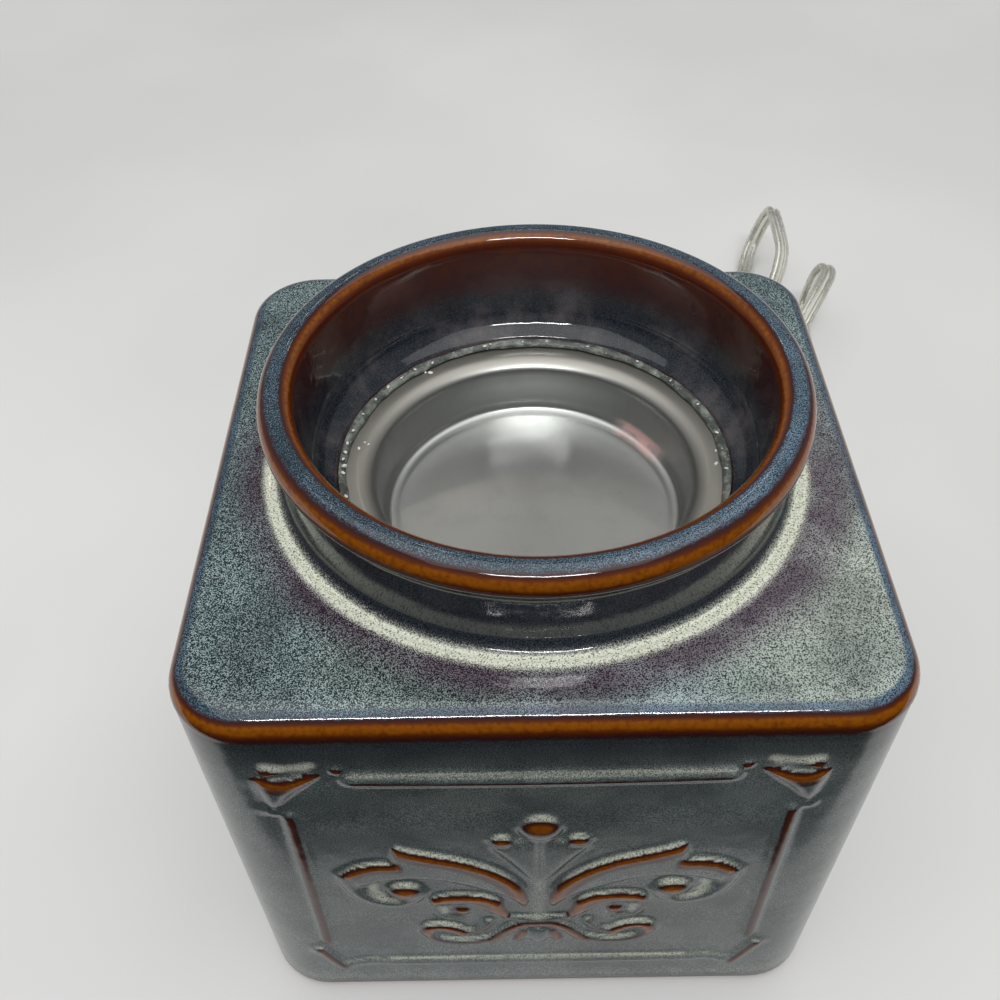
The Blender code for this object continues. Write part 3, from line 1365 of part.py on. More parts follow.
def straight_ends(rows):
    """Adds one cord's width of straight cord to each end of a winding."""
    first, second, last_but_one, last = (Vector(rows[i][:3]) for i in (0, 1, -2, -1))
    start = first + (first - second).normalized() * CORD_WIDTH
    end = last + (last - last_but_one).normalized() * CORD_WIDTH
    return [(*start, rows[0][3]), *rows, (*end, rows[-1][3])]


def least_gap(rows):
    """The least gap between two turns of the coil, from points round the cord's own outline."""
    rings = []
    for x, y, z, _ in rows:
        out = Vector((x - COIL_X, y - COIL_Y, 0)).normalized()
        ring = []
        for k in range(COIL_SIDES * 2):
            angle = math.pi * k / COIL_SIDES
            thin = CORD_THICK / 2 * math.cos(angle)
            wide = CORD_WIDTH / 2 * math.sin(angle)
            ring.append(Vector((x, y, z + wide)) + out * thin)
        rings.append(ring)
    apart = COIL_TURN_POINTS // 2
    return min(
        (a - b).length
        for i, ring in enumerate(rings)
        for other in rings[i + apart:]
        for a in ring
        for b in other
        if (a - b).length_squared < (2 * CORD_WIDTH) ** 2
    )


def cords(relief_tip):
    section = cord_section("cord_outline", CORD_SIDES)
    coil_section = cord_section("coil_outline", COIL_SIDES)
    lead = route_in_metres(LEAD_ROUTE)
    flat_cord("cord_lead", lead, section)
    link = route_in_metres(LINK_ROUTE)
    flat_cord("cord_link", link, section)
    coil = straight_ends(coil_rows())
    flat_cord("cord_coil", coil, coil_section)
    tail = route_in_metres(TAIL_ROUTE)
    flat_cord("cord_tail", tail, section)
    total = 0
    for name, rows in (("lead", lead), ("link", link), ("coil", coil), ("tail", tail)):
        points = [Vector(row[:3]) for row in rows]
        length = sum((b - a).length for a, b in zip(points, points[1:]))
        total += length
        print(f"cord_{name}: {length:.3f} m from {tuple(round(v * 1000, 2) for v in points[0])}"
              f" to {tuple(round(v * 1000, 2) for v in points[-1])}")
    print(f"cord, all its stretches: {total:.3f} m")
    print(f"coil's least gap to itself: {least_gap(coil_rows()) * 1000:.2f} mm")
    print(f"strain relief's tip at y = {relief_tip * 1000:.2f} mm")


def coil_ties():
    """A closed loop of wire round all the turns at one place."""
    whole_turns = COIL_TURNS + (COIL_START - COIL_END) / 360
    inner = COIL_R - COIL_STEP * whole_turns / 2 - CORD_THICK / 2 - TIE_GAP - TIE_R
    outer = COIL_R + CORD_THICK / 2 + TIE_GAP + TIE_R
    low = TIE_R + SEAT_GAP / 3
    high = COIL_LIFT + 2 * CORD_WIDTH + COIL_LAYER_GAP + TIE_GAP + TIE_R
    corner = TIE_R * 3
    for i, degrees in enumerate(TIE_ANGLES):
        loop = []
        for r, z, start in ((outer, high, 0), (inner, high, 90), (inner, low, 180), (outer, low, 270)):
            centre_r = r - corner if r == outer else r + corner
            centre_z = z - corner if z == high else z + corner
            for px, pz in arc((centre_r, centre_z), corner, start, start + 90, 2):
                angle = math.radians(degrees)
                loop.append((COIL_X + px * math.cos(angle), COIL_Y + px * math.sin(angle), pz))
        wire(f"cord_tie_{i + 1}", loop, TIE_R, "white_plastic", closed=True)


clear_scene()
parts = new_collection("wax_warmer")
guides = new_collection("guides")
ceramic_body()
heating_plate()
plate_seal()
clamp_stud()
heater_element()
stack_discs()
heat_shield()
thermal_fuse()
corner_blocks()
base_plate()
feet_and_screws()
inside_end, outside_end = strain_relief()
connectors_and_leads(inside_end)
switch_case()
switch_rocker()
switch_contacts()
plug()
cords(outside_end)
coil_ties()
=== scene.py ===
import math

import bpy
import numpy as np
from mathutils import Matrix, Vector


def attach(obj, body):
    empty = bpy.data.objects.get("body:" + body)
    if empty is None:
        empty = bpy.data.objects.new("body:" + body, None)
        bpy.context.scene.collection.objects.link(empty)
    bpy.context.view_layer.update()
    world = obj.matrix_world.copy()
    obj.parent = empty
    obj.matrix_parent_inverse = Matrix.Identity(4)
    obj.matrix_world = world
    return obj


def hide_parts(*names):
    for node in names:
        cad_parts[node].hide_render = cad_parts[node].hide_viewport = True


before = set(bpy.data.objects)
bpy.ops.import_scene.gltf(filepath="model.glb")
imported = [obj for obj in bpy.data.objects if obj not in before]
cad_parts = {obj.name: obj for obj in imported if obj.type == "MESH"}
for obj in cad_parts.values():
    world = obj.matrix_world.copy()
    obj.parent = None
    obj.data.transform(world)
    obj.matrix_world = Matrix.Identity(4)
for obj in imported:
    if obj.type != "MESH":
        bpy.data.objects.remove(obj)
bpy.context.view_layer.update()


# The view
# The warmer is seen from the front, from well above its lip. Sizes in this file are metres, with the
# front facing -Y and the table top at z = 0.
CAMERA_PLACE = Vector((-0.0056795, -0.152984, 0.246506))
CAMERA_LENS = 40.012  # millimetres
CAMERA_SENSOR = 36.0
CAMERA_NEAR = 0.01
CAMERA_DOWN = 0.79368  # radians below level
CAMERA_TURN = -0.0061179  # radians to the right of straight back
CAMERA_ROLL = -0.0223888

camera_data = bpy.data.cameras.new("view_from_above_the_lip")
camera_data.sensor_fit = "HORIZONTAL"
camera_data.sensor_width = CAMERA_SENSOR
camera_data.lens = CAMERA_LENS
camera_data.clip_start = CAMERA_NEAR
camera = bpy.data.objects.new("view_from_above_the_lip", camera_data)
bpy.context.scene.collection.objects.link(camera)
camera.matrix_world = (
    Matrix.Translation(CAMERA_PLACE)
    @ Matrix.Rotation(-CAMERA_TURN, 4, "Z")
    @ Matrix.Rotation(math.pi / 2 - CAMERA_DOWN, 4, "X")
    @ Matrix.Rotation(CAMERA_ROLL, 4, "Z")
)
bpy.context.scene.camera = camera
bpy.context.scene.view_settings.view_transform = "Standard"

# Table top
# A smooth white board whose front edge is just below the picture. It is the stage and not part of
# the warmer.
TABLE_WIDTH = 3.2
TABLE_FRONT = -0.088
TABLE_ROUGHNESS = 0.55
TABLE_CLOUDS = 0.22  # across one cloud of its faint mottling
TABLE_GREY = (0.68, 0.68, 0.675, 1)
TABLE_WHITE = (0.75, 0.75, 0.745, 1)


def add_node(tree, kind, sockets=None, **settings):
    """Adds a shader node, sets its settings, and fills or links its sockets by name or number."""
    node = tree.nodes.new("ShaderNode" + kind)
    for name, value in settings.items():
        setattr(node, name, value)
    for name, value in (sockets or {}).items():
        if isinstance(value, bpy.types.NodeSocket):
            tree.links.new(value, node.inputs[name])
        else:
            node.inputs[name].default_value = value
    return node


def tree_of(*values):
    """The shader tree that the first socket among the values belongs to."""
    return next(value.id_data for value in values if isinstance(value, bpy.types.NodeSocket))


def mix_colours(factor, first, second):
    node = add_node(tree_of(factor), "Mix", {0: factor, 6: first, 7: second}, data_type="RGBA")
    return node.outputs[2]


def spread(value, low, high, to_low=0.0, to_high=1.0):
    """Maps a value smoothly from one range to another."""
    sockets = {"Value": value, "From Min": low, "From Max": high, "To Min": to_low, "To Max": to_high}
    return add_node(tree_of(value), "MapRange", sockets, interpolation_type="SMOOTHSTEP").outputs["Result"]


def mottle(place, size, detail=2.0, roughness=0.5):
    """Noise whose features are about that many metres across."""
    sockets = {"Vector": place, "Scale": 1 / size, "Detail": detail, "Roughness": roughness}
    return add_node(tree_of(place), "TexNoise", sockets).outputs["Fac"]


def new_finish(name, **sockets):
    """A new material with its Principled shader set. Returns the material, its tree and the shader."""
    material = bpy.data.materials.new(name)
    material.use_nodes = True
    tree = material.node_tree
    shader = tree.nodes["Principled BSDF"]
    for socket, value in sockets.items():
        shader.inputs[socket.replace("_", " ")].default_value = value
    return material, tree, shader


def feed(shader, **sockets):
    """Links shader values to the Principled shader's sockets."""
    for socket, value in sockets.items():
        shader.id_data.links.new(value, shader.inputs[socket.replace("_", " ")])


def object_place(tree):
    return add_node(tree, "TexCoord").outputs["Object"]


table_white, tree, shader = new_finish("table_white", Roughness=TABLE_ROUGHNESS)
tone = spread(mottle(object_place(tree), TABLE_CLOUDS, 3.0), 0.35, 0.7)
feed(shader, Base_Color=mix_colours(tone, TABLE_GREY, TABLE_WHITE))
bpy.ops.mesh.primitive_plane_add(size=TABLE_WIDTH, location=(0, TABLE_FRONT + TABLE_WIDTH / 2, 0))
bpy.ops.object.transform_apply()
table = bpy.context.object
table.name = "table_top"
table.data.materials.append(table_white)

# Light
# A pale room that is bright overhead and behind and dark in front, a strip light high in front that
# draws the thin highlights, a soft ceiling light, and two small warm lamps behind.
ROOM_STRENGTH = 0.8
ROOM_UPPER = (0.30, 0.305, 0.30, 1)
ROOM_OVERHEAD = (0.92, 0.93, 0.93, 1)
ROOM_FRONT = (0.050, 0.048, 0.046, 1)
ROOM_BEHIND = (0.30, 0.30, 0.295, 1)
ROOM_BELOW = (0.02, 0.02, 0.02, 1)
WHITE_LIGHT = (1.0, 1.0, 1.0)
SOFT_LIGHT = (1.0, 0.985, 0.96)
LAMP_LIGHT = (1.0, 0.88, 0.72)

world = bpy.data.worlds.new("pale_room")
bpy.context.scene.world = world
world.use_nodes = True
tree = world.node_tree
outlook = add_node(tree, "SeparateXYZ", {0: add_node(tree, "TexCoord").outputs["Generated"]})
_, backward, upward = outlook.outputs
overhead = mix_colours(spread(upward, 0.80, 0.98), ROOM_UPPER, ROOM_OVERHEAD)
room = mix_colours(spread(backward, -0.45, 0.35), ROOM_FRONT, ROOM_BEHIND)
room = mix_colours(spread(upward, 0.10, 0.60), room, overhead)
room = mix_colours(spread(upward, -0.15, 0.02), ROOM_BELOW, room)
tree.links.new(room, tree.nodes["Background"].inputs["Color"])
tree.nodes["Background"].inputs["Strength"].default_value = ROOM_STRENGTH


def area_light(name, place, target, width, depth, power, colour):
    data = bpy.data.lights.new(name, "AREA")
    data.shape = "RECTANGLE"
    data.size = width
    data.size_y = depth
    data.energy = power
    data.color = colour
    light = bpy.data.objects.new(name, data)
    light.location = place
    light.rotation_euler = (Vector(target) - Vector(place)).to_track_quat("-Z", "Y").to_euler()
    bpy.context.scene.collection.objects.link(light)


area_light("strip_light", (0.02, -1.35, 1.94), (0, 0, 0.05), 1.2, 0.045, 22, WHITE_LIGHT)
area_light("ceiling_light", (0, -0.1, 2.0), (0, -0.1, 0), 2.6, 2.6, 23, SOFT_LIGHT)
area_light("lamp_left", (-0.10, 1.60, 1.62), (0, 0, 0.09), 0.07, 0.07, 0.16, LAMP_LIGHT)
area_light("lamp_right", (0.42, 1.55, 1.58), (0, 0, 0.09), 0.07, 0.07, 0.15, LAMP_LIGHT)

# Ceramic body
# A square slip-cast jar, open below, with a round collar on top and a scroll and leaf ornament in
# relief inside a thin frame on each side. The reactive glaze breaks to amber where it runs thin on
# edges and crests, and pools cream and speckled on the slopes and round the collar's foot.
BODY_HALF = 0.060
BODY_DRAFT = 0.0016
BODY_BOTTOM_Z = 0.0015
BODY_TOP_Z = 0.1043
BODY_CORNER_R = 0.0133
BODY_TOP_EDGE_R = 0.0040
BODY_BOTTOM_EDGE_R = 0.0012
CAVITY_HALF = 0.0524
CAVITY_CORNER_R = 0.0073
CEILING_Z = 0.0958
FOOT_RIM_HALF = 0.0545  # half way across the wall's bottom face
FOOT_RIM_CORNER_R = 0.0090
LIP_R = 0.0456
LIP_Z = 0.1207
LIP_TUBE_R = 0.00325
NECK_R = 0.0462
FILLET_R = 0.0030
WELL_R = 0.0418
LEDGE_Z = 0.0996
CEILING_R = 0.0494  # of the round part of the ceiling that the collar's well opens through
LEDGE_R = 0.0370
LEDGE_HOLE_R = 0.0330
SIDE_COLUMNS = 144  # on the straight part of a side, and each ring has four sides
CORNER_COLUMNS = 12
SIDE_ROWS = 120
ORNAMENT_SHIFT = -0.0006
RELIEF_LOW = 0.0075
RELIEF_HIGH = 0.0970
RELIEF_GRID = 0.25  # millimetres between the points of the relief's height map
RELIEF_GAP = (0.0145, 0.0165)  # on the back the bottom bar sinks here, short of the cord's way out
RELIEF_GAP_END = (0.0335, 0.0355)
RELIEF_GAP_Z = 0.022
RELIEF_SOFTNESS = 0.40  # millimetres
CREAM_SOFTNESS = 0.45
AMBER_SOFTNESS = 0.4
BALL_RISE = 1.3  # how much faster the amber on a ball thins upwards than sideways
LEAF_ROUNDING = 1.35  # millimetres in from a leaf's edge that its surface keeps rising
RIDGE_SETBACK = 1.15  # millimetres from a leaf's edge to the ridge where the glaze runs thin
AMBER_FADE = 1.7  # how much farther the amber reaches down a leaf than up to its edge

# The ornament's left half, in millimetres from its middle line and up from the table
LEAF_CREST = ((-25.7, 66.1), (-22.3, 64.1), (-18.6, 62.5), (-14.4, 60.8), (-10.9, 58.7), (-8.0, 56.3),
              (-5.0, 52.8), (-3.0, 48.9), (-2.0, 45.2), (-1.8, 43.2))
LEAF_LOBE = ((-26.3, 59.6), (-29.6, 59.6), (-32.5, 58.8), (-34.7, 57.4), (-36.2, 55.6))
LEAF_FOOT = ((-32.6, 47.9), (-31.2, 50.9), (-27.8, 52.4), (-24.3, 52.9), (-19.3, 52.4), (-14.3, 50.4),
             (-9.3, 47.4), (-5.8, 44.4), (-3.3, 40.9), (-2.8, 36.9))
VOLUTE_BAND = ((-35.6, 54.5), (-34.9, 50.5), (-33.4, 46.4), (-30.6, 43.6), (-27.0, 42.6), (-24.0, 43.9),
               (-22.2, 46.9))
VOLUTE_BALL = (-24.9, 48.1)
EYE_ARC = ((-20.9, 43.2), (-20.1, 44.9), (-17.7, 46.2), (-14.2, 46.4), (-10.7, 45.9), (-8.3, 44.4),
           (-6.8, 42.2), (-6.1, 38.7))
EYE_FOOT = ((-20.6, 41.5), (-17.3, 41.9), (-13.3, 41.2), (-10.3, 38.8), (-7.3, 36.1), (-5.3, 35.4))
EYE_RING = (-16.4, 38.7)
EYE_BALL = (-14.6, 39.8)
BUD = (0.0, 71.6)
SIDE_BUD = (-6.8, 67.2)
VEE = ((-8.8, 64.8), (-5.3, 58.8), (-2.4, 53.3), (0.0, 49.6))
STALK = ((0.0, 50.0), (0.0, 42.0), (0.0, 35.6))
CUP = ((-6.0, 35.6), (-3.0, 35.0), (0.0, 34.8))
RIBBON = ((0.0, 33.0), (-3.3, 32.7), (-5.7, 30.3), (-7.6, 27.7), (-9.4, 25.3))
LOWER_SIDE_LOBE = ((-3.0, 29.2), (-4.0, 25.4))
SCROLL_UPPER = ((-21.8, 29.6), (-21.4, 31.6), (-18.9, 32.2), (-16.4, 30.9), (-14.9, 29.2))
SCROLL_HOOK = ((-14.9, 29.2), (-12.6, 29.4), (-10.9, 31.2), (-9.6, 33.6))
SCROLL_LOWER = ((-21.8, 29.0), (-20.3, 26.3), (-17.2, 24.8), (-12.9, 24.6), (-9.9, 25.8))
TULIP_VEE = ((-45.6, 92.5), (-44.2, 90.4), (-42.1, 89.3), (-39.3, 90.0), (-35.0, 92.2))
TULIP_SIDES = ((-35.0, 90.4), (-38.4, 86.6), (-41.4, 83.5), (-43.3, 80.6), (-44.7, 80.6), (-45.7, 85.3),
               (-46.1, 90.0))
TULIP_RING = (-44.3, 79.0)
FRAME_DOT = (-32.6, 91.5)
FRAME_TOP = ((-30.4, 88.6), (-15.0, 88.2), (0.0, 88.0))
FRAME_SIDE = ((-42.2, 77.0), (-42.2, 25.2))
FRAME_BOTTOM = ((-29.6, 14.9), (0.0, 14.6))
FOOT_MARK = ((-44.3, 21.6), (-42.2, 16.6), (-40.2, 12.2))
FOOT_LEAF = ((-39.2, 13.2), (-34.6, 15.0), (-30.9, 14.2))

map_across, map_up = np.meshgrid(
    np.arange(-49, RELIEF_GRID, RELIEF_GRID), np.arange(5, 100, RELIEF_GRID)
)
relief = np.zeros_like(map_across)
amber_map = np.zeros_like(map_across)
cream_and_highlight_map = np.zeros_like(map_across)


def smooth_line(points, steps):
    """A smooth curve through the points, with that many steps between each two."""
    rows = np.asarray(points, float)
    rows = np.vstack([2 * rows[0] - rows[1], rows, 2 * rows[-1] - rows[-2]])
    curve = []
    for a, b, c, d in zip(rows, rows[1:], rows[2:], rows[3:]):
        for i in range(steps):
            t = i / steps
            cubic = 2 * b + (c - a) * t + (2 * a - 5 * b + 4 * c - d) * t**2 + (3 * b - a - 3 * c + d) * t**3
            curve.append(cubic / 2)
    return np.array([*curve, rows[-2]])


def distance_to(points, steps=4):
    """How far each point of the map is from a smooth line, in millimetres."""
    line = smooth_line(points, steps) if len(points) > 2 else np.asarray(points, float)
    nearest = np.full(map_across.shape, 1e3)
    for (x0, z0), (x1, z1) in zip(line, line[1:]):
        dx, dz = x1 - x0, z1 - z0
        along = ((map_across - x0) * dx + (map_up - z0) * dz) / (dx * dx + dz * dz)
        along = np.clip(along, 0, 1)
        nearest = np.minimum(nearest, np.hypot(map_across - x0 - along * dx, map_up - z0 - along * dz))
    return nearest


def inside_of(points):
    """Which points of the map lie inside a closed outline."""
    inside = np.zeros(map_across.shape, bool)
    for (x0, z0), (x1, z1) in zip(points, np.roll(points, -1, axis=0)):
        if z0 == z1:
            continue
        crosses = (map_up < z0) != (map_up < z1)
        inside ^= crosses & (map_across < x0 + (map_up - z0) * (x1 - x0) / (z1 - z0))
    return inside


def rounded(t):
    """A round section's height from 1 in the middle to 0 at its edge."""
    return np.sqrt(np.clip(1 - np.clip(t, 0, 1) ** 2, 0, 1))


def raise_bead(points, half_width, height, amber=0.0, amber_width=0.8):
    global relief, amber_map
    away = distance_to(points)
    relief = np.maximum(relief, height * rounded(away / half_width) ** 1.3)
    amber_map = np.maximum(amber_map, amber * np.exp(-(away / amber_width) ** 2))


def raise_ball(centre, radius_x, radius_z, height, amber=0.0, amber_rise=0.0, amber_r=1.0):
    global relief, amber_map
    away = np.hypot((map_across - centre[0]) / radius_x, (map_up - centre[1]) / radius_z)
    relief = np.maximum(relief, height * rounded(away))
    spot = np.hypot(map_across - centre[0], (map_up - centre[1] - amber_rise) * BALL_RISE)
    amber_map = np.maximum(amber_map, amber * np.exp(-(spot / amber_r) ** 3))


def raise_leaf(crest, foot, high, low, amber=1.0, amber_width=1.1):
    """A leaf that stands highest along its crest and sinks towards its foot."""
    global relief, amber_map
    outline = np.vstack([smooth_line(crest, 4), smooth_line(foot, 4)[::-1]])
    inside = inside_of(outline)
    to_crest = distance_to(crest)
    to_foot = distance_to(foot)
    edge = distance_to([*outline, outline[0]], 1)
    level = low + (high - low) * (to_foot / (to_crest + to_foot + 1e-6)) ** 0.8
    relief = np.maximum(relief, np.where(inside, level * rounded(1 - edge / LEAF_ROUNDING), 0))
    off_ridge = to_crest - RIDGE_SETBACK
    off_ridge /= np.where(off_ridge > 0, AMBER_FADE, 1.0) * amber_width
    amber_map = np.maximum(amber_map, amber * np.where(inside, np.exp(-(off_ridge**2)), 0))


def pour_cream(points, width, amount):
    global cream_and_highlight_map
    cream_and_highlight_map = np.maximum(cream_and_highlight_map, amount * np.exp(-(distance_to(points) / width) ** 4))


def soften(values, size):
    """Blurs a map by about that many millimetres."""
    reach = 8
    weights = np.exp(-(np.arange(-reach, reach + 1) * RELIEF_GRID / size) ** 2)
    weights /= weights.sum()
    for axis in (0, 1):
        margins = [(0, 0), (0, 0)]
        margins[axis] = (reach, reach)
        padded = np.pad(values, margins, mode="edge")
        values = sum(
            w * np.take(padded, range(i, i + values.shape[axis]), axis=axis) for i, w in enumerate(weights)
        )
    return values


def round_line(centre, radius, start, end, count):
    """Points along an arc, in radians from the right."""
    angles = np.linspace(start, end, count)
    return [(centre[0] + radius * math.cos(a), centre[1] + radius * math.sin(a)) for a in angles]


raise_leaf(LEAF_CREST, [(-27.0, 60.0), (-27.8, 55.0), *LEAF_FOOT[2:]], 1.25, 0.80, 1.0, 1.2)
raise_leaf([(-25.0, 60.5), *LEAF_LOBE], [(-24.3, 52.9), (-27.8, 52.4), (-31.2, 50.9), (-33.6, 50.0)],
           1.15, 0.75, 1.0, 1.0)
raise_bead(VOLUTE_BAND, 1.7, 0.9)
raise_ball(VOLUTE_BALL, 3.5, 3.3, 1.5, 1.0, 0.6, 2.7)
raise_leaf(EYE_ARC, EYE_FOOT, 1.2, 0.75, 1.1, 1.2)
raise_bead(round_line(EYE_RING, 3.3, 0.6, 6.9, 20), 0.75, 0.55)
raise_ball(EYE_BALL, 2.1, 2.0, 1.2, 1.0, 0.2, 1.8)
raise_leaf([(-8.6, 64.9), (-6.4, 66.0), (-3.4, 67.6), (0.0, 68.4)], VEE, 0.75, 0.75, 0.0)
raise_ball(BUD, 3.9, 4.5, 1.5, 1.0, 1.4, 3.1)
raise_ball(SIDE_BUD, 2.3, 2.0, 1.2, 1.0, 0.2, 1.8)
raise_bead(CUP, 1.2, 0.8)
raise_bead(RIBBON, 1.7, 1.1, 0.95, 1.1)
raise_ball((0.0, 26.6), 2.1, 3.8, 0.9)
raise_bead(LOWER_SIDE_LOBE, 1.5, 0.8, 0.9, 0.9)
raise_bead(SCROLL_UPPER, 1.8, 1.2, 1.0, 1.3)
raise_bead(SCROLL_HOOK, 1.3, 0.9, 0.45, 0.8)
raise_bead(SCROLL_LOWER, 1.7, 1.0, 0.5, 0.9)
raise_leaf(TULIP_VEE, TULIP_SIDES, 1.2, 0.75, 1.1, 1.3)
raise_bead(round_line(TULIP_RING, 1.1, 0, 6.3, 12), 0.6, 0.6)
raise_ball(FRAME_DOT, 1.2, 1.2, 0.8, 1.0, 0.2, 1.0)
raise_bead(FRAME_TOP, 2.2, 1.2, 0.5, 0.6)
raise_bead(FRAME_SIDE, 1.4, 0.8, 0.72, 0.75)
raise_bead(FRAME_BOTTOM, 2.0, 1.0, 0.25, 0.7)
raise_bead(FOOT_MARK, 1.5, 1.0, 0.75, 0.9)
raise_bead(FOOT_LEAF, 1.7, 0.8)
pour_cream(STALK, 1.9, 0.55)
pour_cream([(-30.6, 50.0), (-31.0, 47.6), (-29.4, 45.2)], 1.3, 0.8)
pour_cream([(EYE_RING[0] - 2.0, EYE_RING[1] + 1.5), (EYE_RING[0] - 1.6, EYE_RING[1] - 1.2)], 1.1, 0.8)
relief = soften(relief, RELIEF_SOFTNESS)
slope_up, slope_across = np.gradient(relief, RELIEF_GRID)
cream_and_highlight_map = np.maximum(cream_and_highlight_map, np.clip((-slope_up - 0.16) / 0.55, 0, 1) ** 0.8)
cream_and_highlight_map = np.maximum(cream_and_highlight_map, 0.30 * np.clip((np.abs(slope_across) - 0.25) / 0.8, 0, 1))
# Pale lines along the lower outlines of the leaves, volute and tulips: partly pale glaze, partly painted
# highlight.
for outline in (LEAF_FOOT, EYE_FOOT, VOLUTE_BAND, TULIP_SIDES):
    pour_cream(outline, 0.5, 0.30)
pour_cream([(-44.0, 93.0), (-40.4, 92.2), (-36.6, 93.0)], 1.4, 1.2)
cream_and_highlight_map = 0.70 * soften(cream_and_highlight_map, CREAM_SOFTNESS)
amber_map = np.clip(soften(amber_map, AMBER_SOFTNESS) - 0.8 * cream_and_highlight_map, 0, 1.2)


def read_map(values, across, up):
    """The map's value at places in millimetres, mirrored about its middle line."""
    x = np.clip((-np.abs(across) - map_across[0, 0]) / RELIEF_GRID, 0, values.shape[1] - 1.001)
    z = np.clip((up - map_up[0, 0]) / RELIEF_GRID, 0, values.shape[0] - 1.001)
    i, j = x.astype(int), z.astype(int)
    u, v = x - i, z - j
    low = values[j, i] * (1 - u) + values[j, i + 1] * u
    high = values[j + 1, i] * (1 - u) + values[j + 1, i + 1] * u
    return low * (1 - v) + high * v


def square_ring(half, corner_r, z, share=1):
    """Points round a square with round corners, their outward directions, and places across a side."""
    straight = half - corner_r
    side = [(x, -half, 0.0, -1.0) for x in np.linspace(-straight, straight, SIDE_COLUMNS // share + 1)[:-1]]
    for angle in np.linspace(-math.pi / 2, 0, CORNER_COLUMNS // share + 1)[:-1]:
        out_x, out_y = math.cos(angle), math.sin(angle)
        side.append((straight + corner_r * out_x, -straight + corner_r * out_y, out_x, out_y))
    x, y, nx, ny = np.array(side).T
    height = np.full(len(x), z)
    ring = []
    for c, s in ((1, 0), (0, 1), (-1, 0), (0, -1)):
        columns = (c * x - s * y, s * x + c * y, height, c * nx - s * ny, s * nx + c * ny, x)
        ring.append(np.stack(columns, axis=1))
    return np.vstack(ring)


def round_ring(radius, z, share=4):
    """A ring of points on a circle, its first point next to the square rings' first one."""
    count = 4 * (SIDE_COLUMNS + CORNER_COLUMNS) // share
    angles = -math.pi / 2 + 2 * math.pi * (np.arange(count) - SIDE_COLUMNS / 2 / share) / count
    out_x, out_y = np.cos(angles), np.sin(angles)
    zero = np.zeros(count)
    return np.stack([radius * out_x, radius * out_y, zero + z, out_x, out_y, zero], axis=1)


body_rings = []  # each ring's points, and its shares of amber, cream, and deep glaze with painted shade


def add_ring(ring, amber=0.0, cream=0.0, deep_and_shade=0.0):
    one = np.ones(len(ring))
    body_rings.append((ring[:, :3], amber * one, cream * one, deep_and_shade * one))


def half_at(z):
    return BODY_HALF - BODY_DRAFT * (BODY_TOP_Z - z) / (BODY_TOP_Z - BODY_BOTTOM_Z)


def ease(value, low, high):
    t = np.clip((value - low) / (high - low), 0, 1)
    return t * t * (3 - 2 * t)


# Up the outside: the bottom edge, the sides with their relief, and the round top edge. Tables are of heights
# or of degrees, and of the shares of amber, cream, and deep glaze with painted shade there.
BOTTOM_EDGE_DEGREES = (0, 30, 60, 90)
FOOT_CREAM = ((0.0040, 0.10), (0.0052, 0.30), (0.0064, 0.30))
FOOT_CREAM_SHARE = 0.26
FOOT_CREAM_END = (0.0080, 0.0125)
UPPER_CREAM_LOSS = 0.30
UPPER_CREAM_FADE = (0.074, 0.086)
# The sides darken over their top centimetre and under the top edge's amber: dark glaze and painted shade.
SHOULDER_SHADE_SHARE = 0.75
SHOULDER_SHADE_RISE = (0.0880, 0.0970)
SHOULDER_AMBER = ((0.0980, 0.04), (0.0989, 0.14), (0.0996, 0.32))
TOP_EDGE_AMBER = (
    (0, 0.44), (12, 0.62), (24, 0.86), (34, 0.92), (42, 0.64), (50, 0.33), (58, 0.15), (68, 0.08),
    (78, 0.03),
    (90, 0.0),
)
for degrees in BOTTOM_EDGE_DEGREES:
    tilt = math.radians(degrees)
    inset = BODY_BOTTOM_EDGE_R * (1 - math.sin(tilt))
    z = BODY_BOTTOM_Z + BODY_BOTTOM_EDGE_R * (1 - math.cos(tilt))
    add_ring(square_ring(half_at(z) - inset, BODY_CORNER_R - inset, z), amber=0.5, deep_and_shade=0.3)
for z, cream in FOOT_CREAM:
    add_ring(square_ring(half_at(z), BODY_CORNER_R, z), cream=cream)
for z in np.linspace(RELIEF_LOW, RELIEF_HIGH, SIDE_ROWS):
    ring = square_ring(half_at(z), BODY_CORNER_R, z)
    across = (ring[:, 5] - ORNAMENT_SHIFT) * 1000
    up = np.full(len(ring), z * 1000)
    kept = ((np.abs(ring[:, 3]) > 0.999) | (np.abs(ring[:, 4]) > 0.999)).astype(float)
    if z < RELIEF_GAP_Z:
        in_gap = ease(ring[:, 0], *RELIEF_GAP) * (1 - ease(ring[:, 0], *RELIEF_GAP_END))
        kept *= 1 - (ring[:, 4] > 0.5) * in_gap
    lift = kept * read_map(relief, across, up) / 1000
    ring[:, 0] += lift * ring[:, 3]
    ring[:, 1] += lift * ring[:, 4]
    amber = kept * read_map(amber_map, across, up)
    cream = kept * read_map(cream_and_highlight_map, across, up)
    cream *= 1 - UPPER_CREAM_LOSS * ease(z, *UPPER_CREAM_FADE)
    cream = np.maximum(cream, FOOT_CREAM_SHARE * (1 - ease(z, *FOOT_CREAM_END)))
    add_ring(ring, amber, cream, SHOULDER_SHADE_SHARE * ease(z, *SHOULDER_SHADE_RISE))
for z, amber in SHOULDER_AMBER:
    add_ring(square_ring(half_at(z), BODY_CORNER_R, z), amber=amber, deep_and_shade=0.85)
for degrees, amber in TOP_EDGE_AMBER:
    tilt = math.radians(degrees)
    inset = BODY_TOP_EDGE_R * (1 - math.cos(tilt))
    z = BODY_TOP_Z - BODY_TOP_EDGE_R * (1 - math.sin(tilt))
    add_ring(square_ring(BODY_HALF - inset, BODY_CORNER_R - inset, z), amber=amber, deep_and_shade=0.3 * amber)

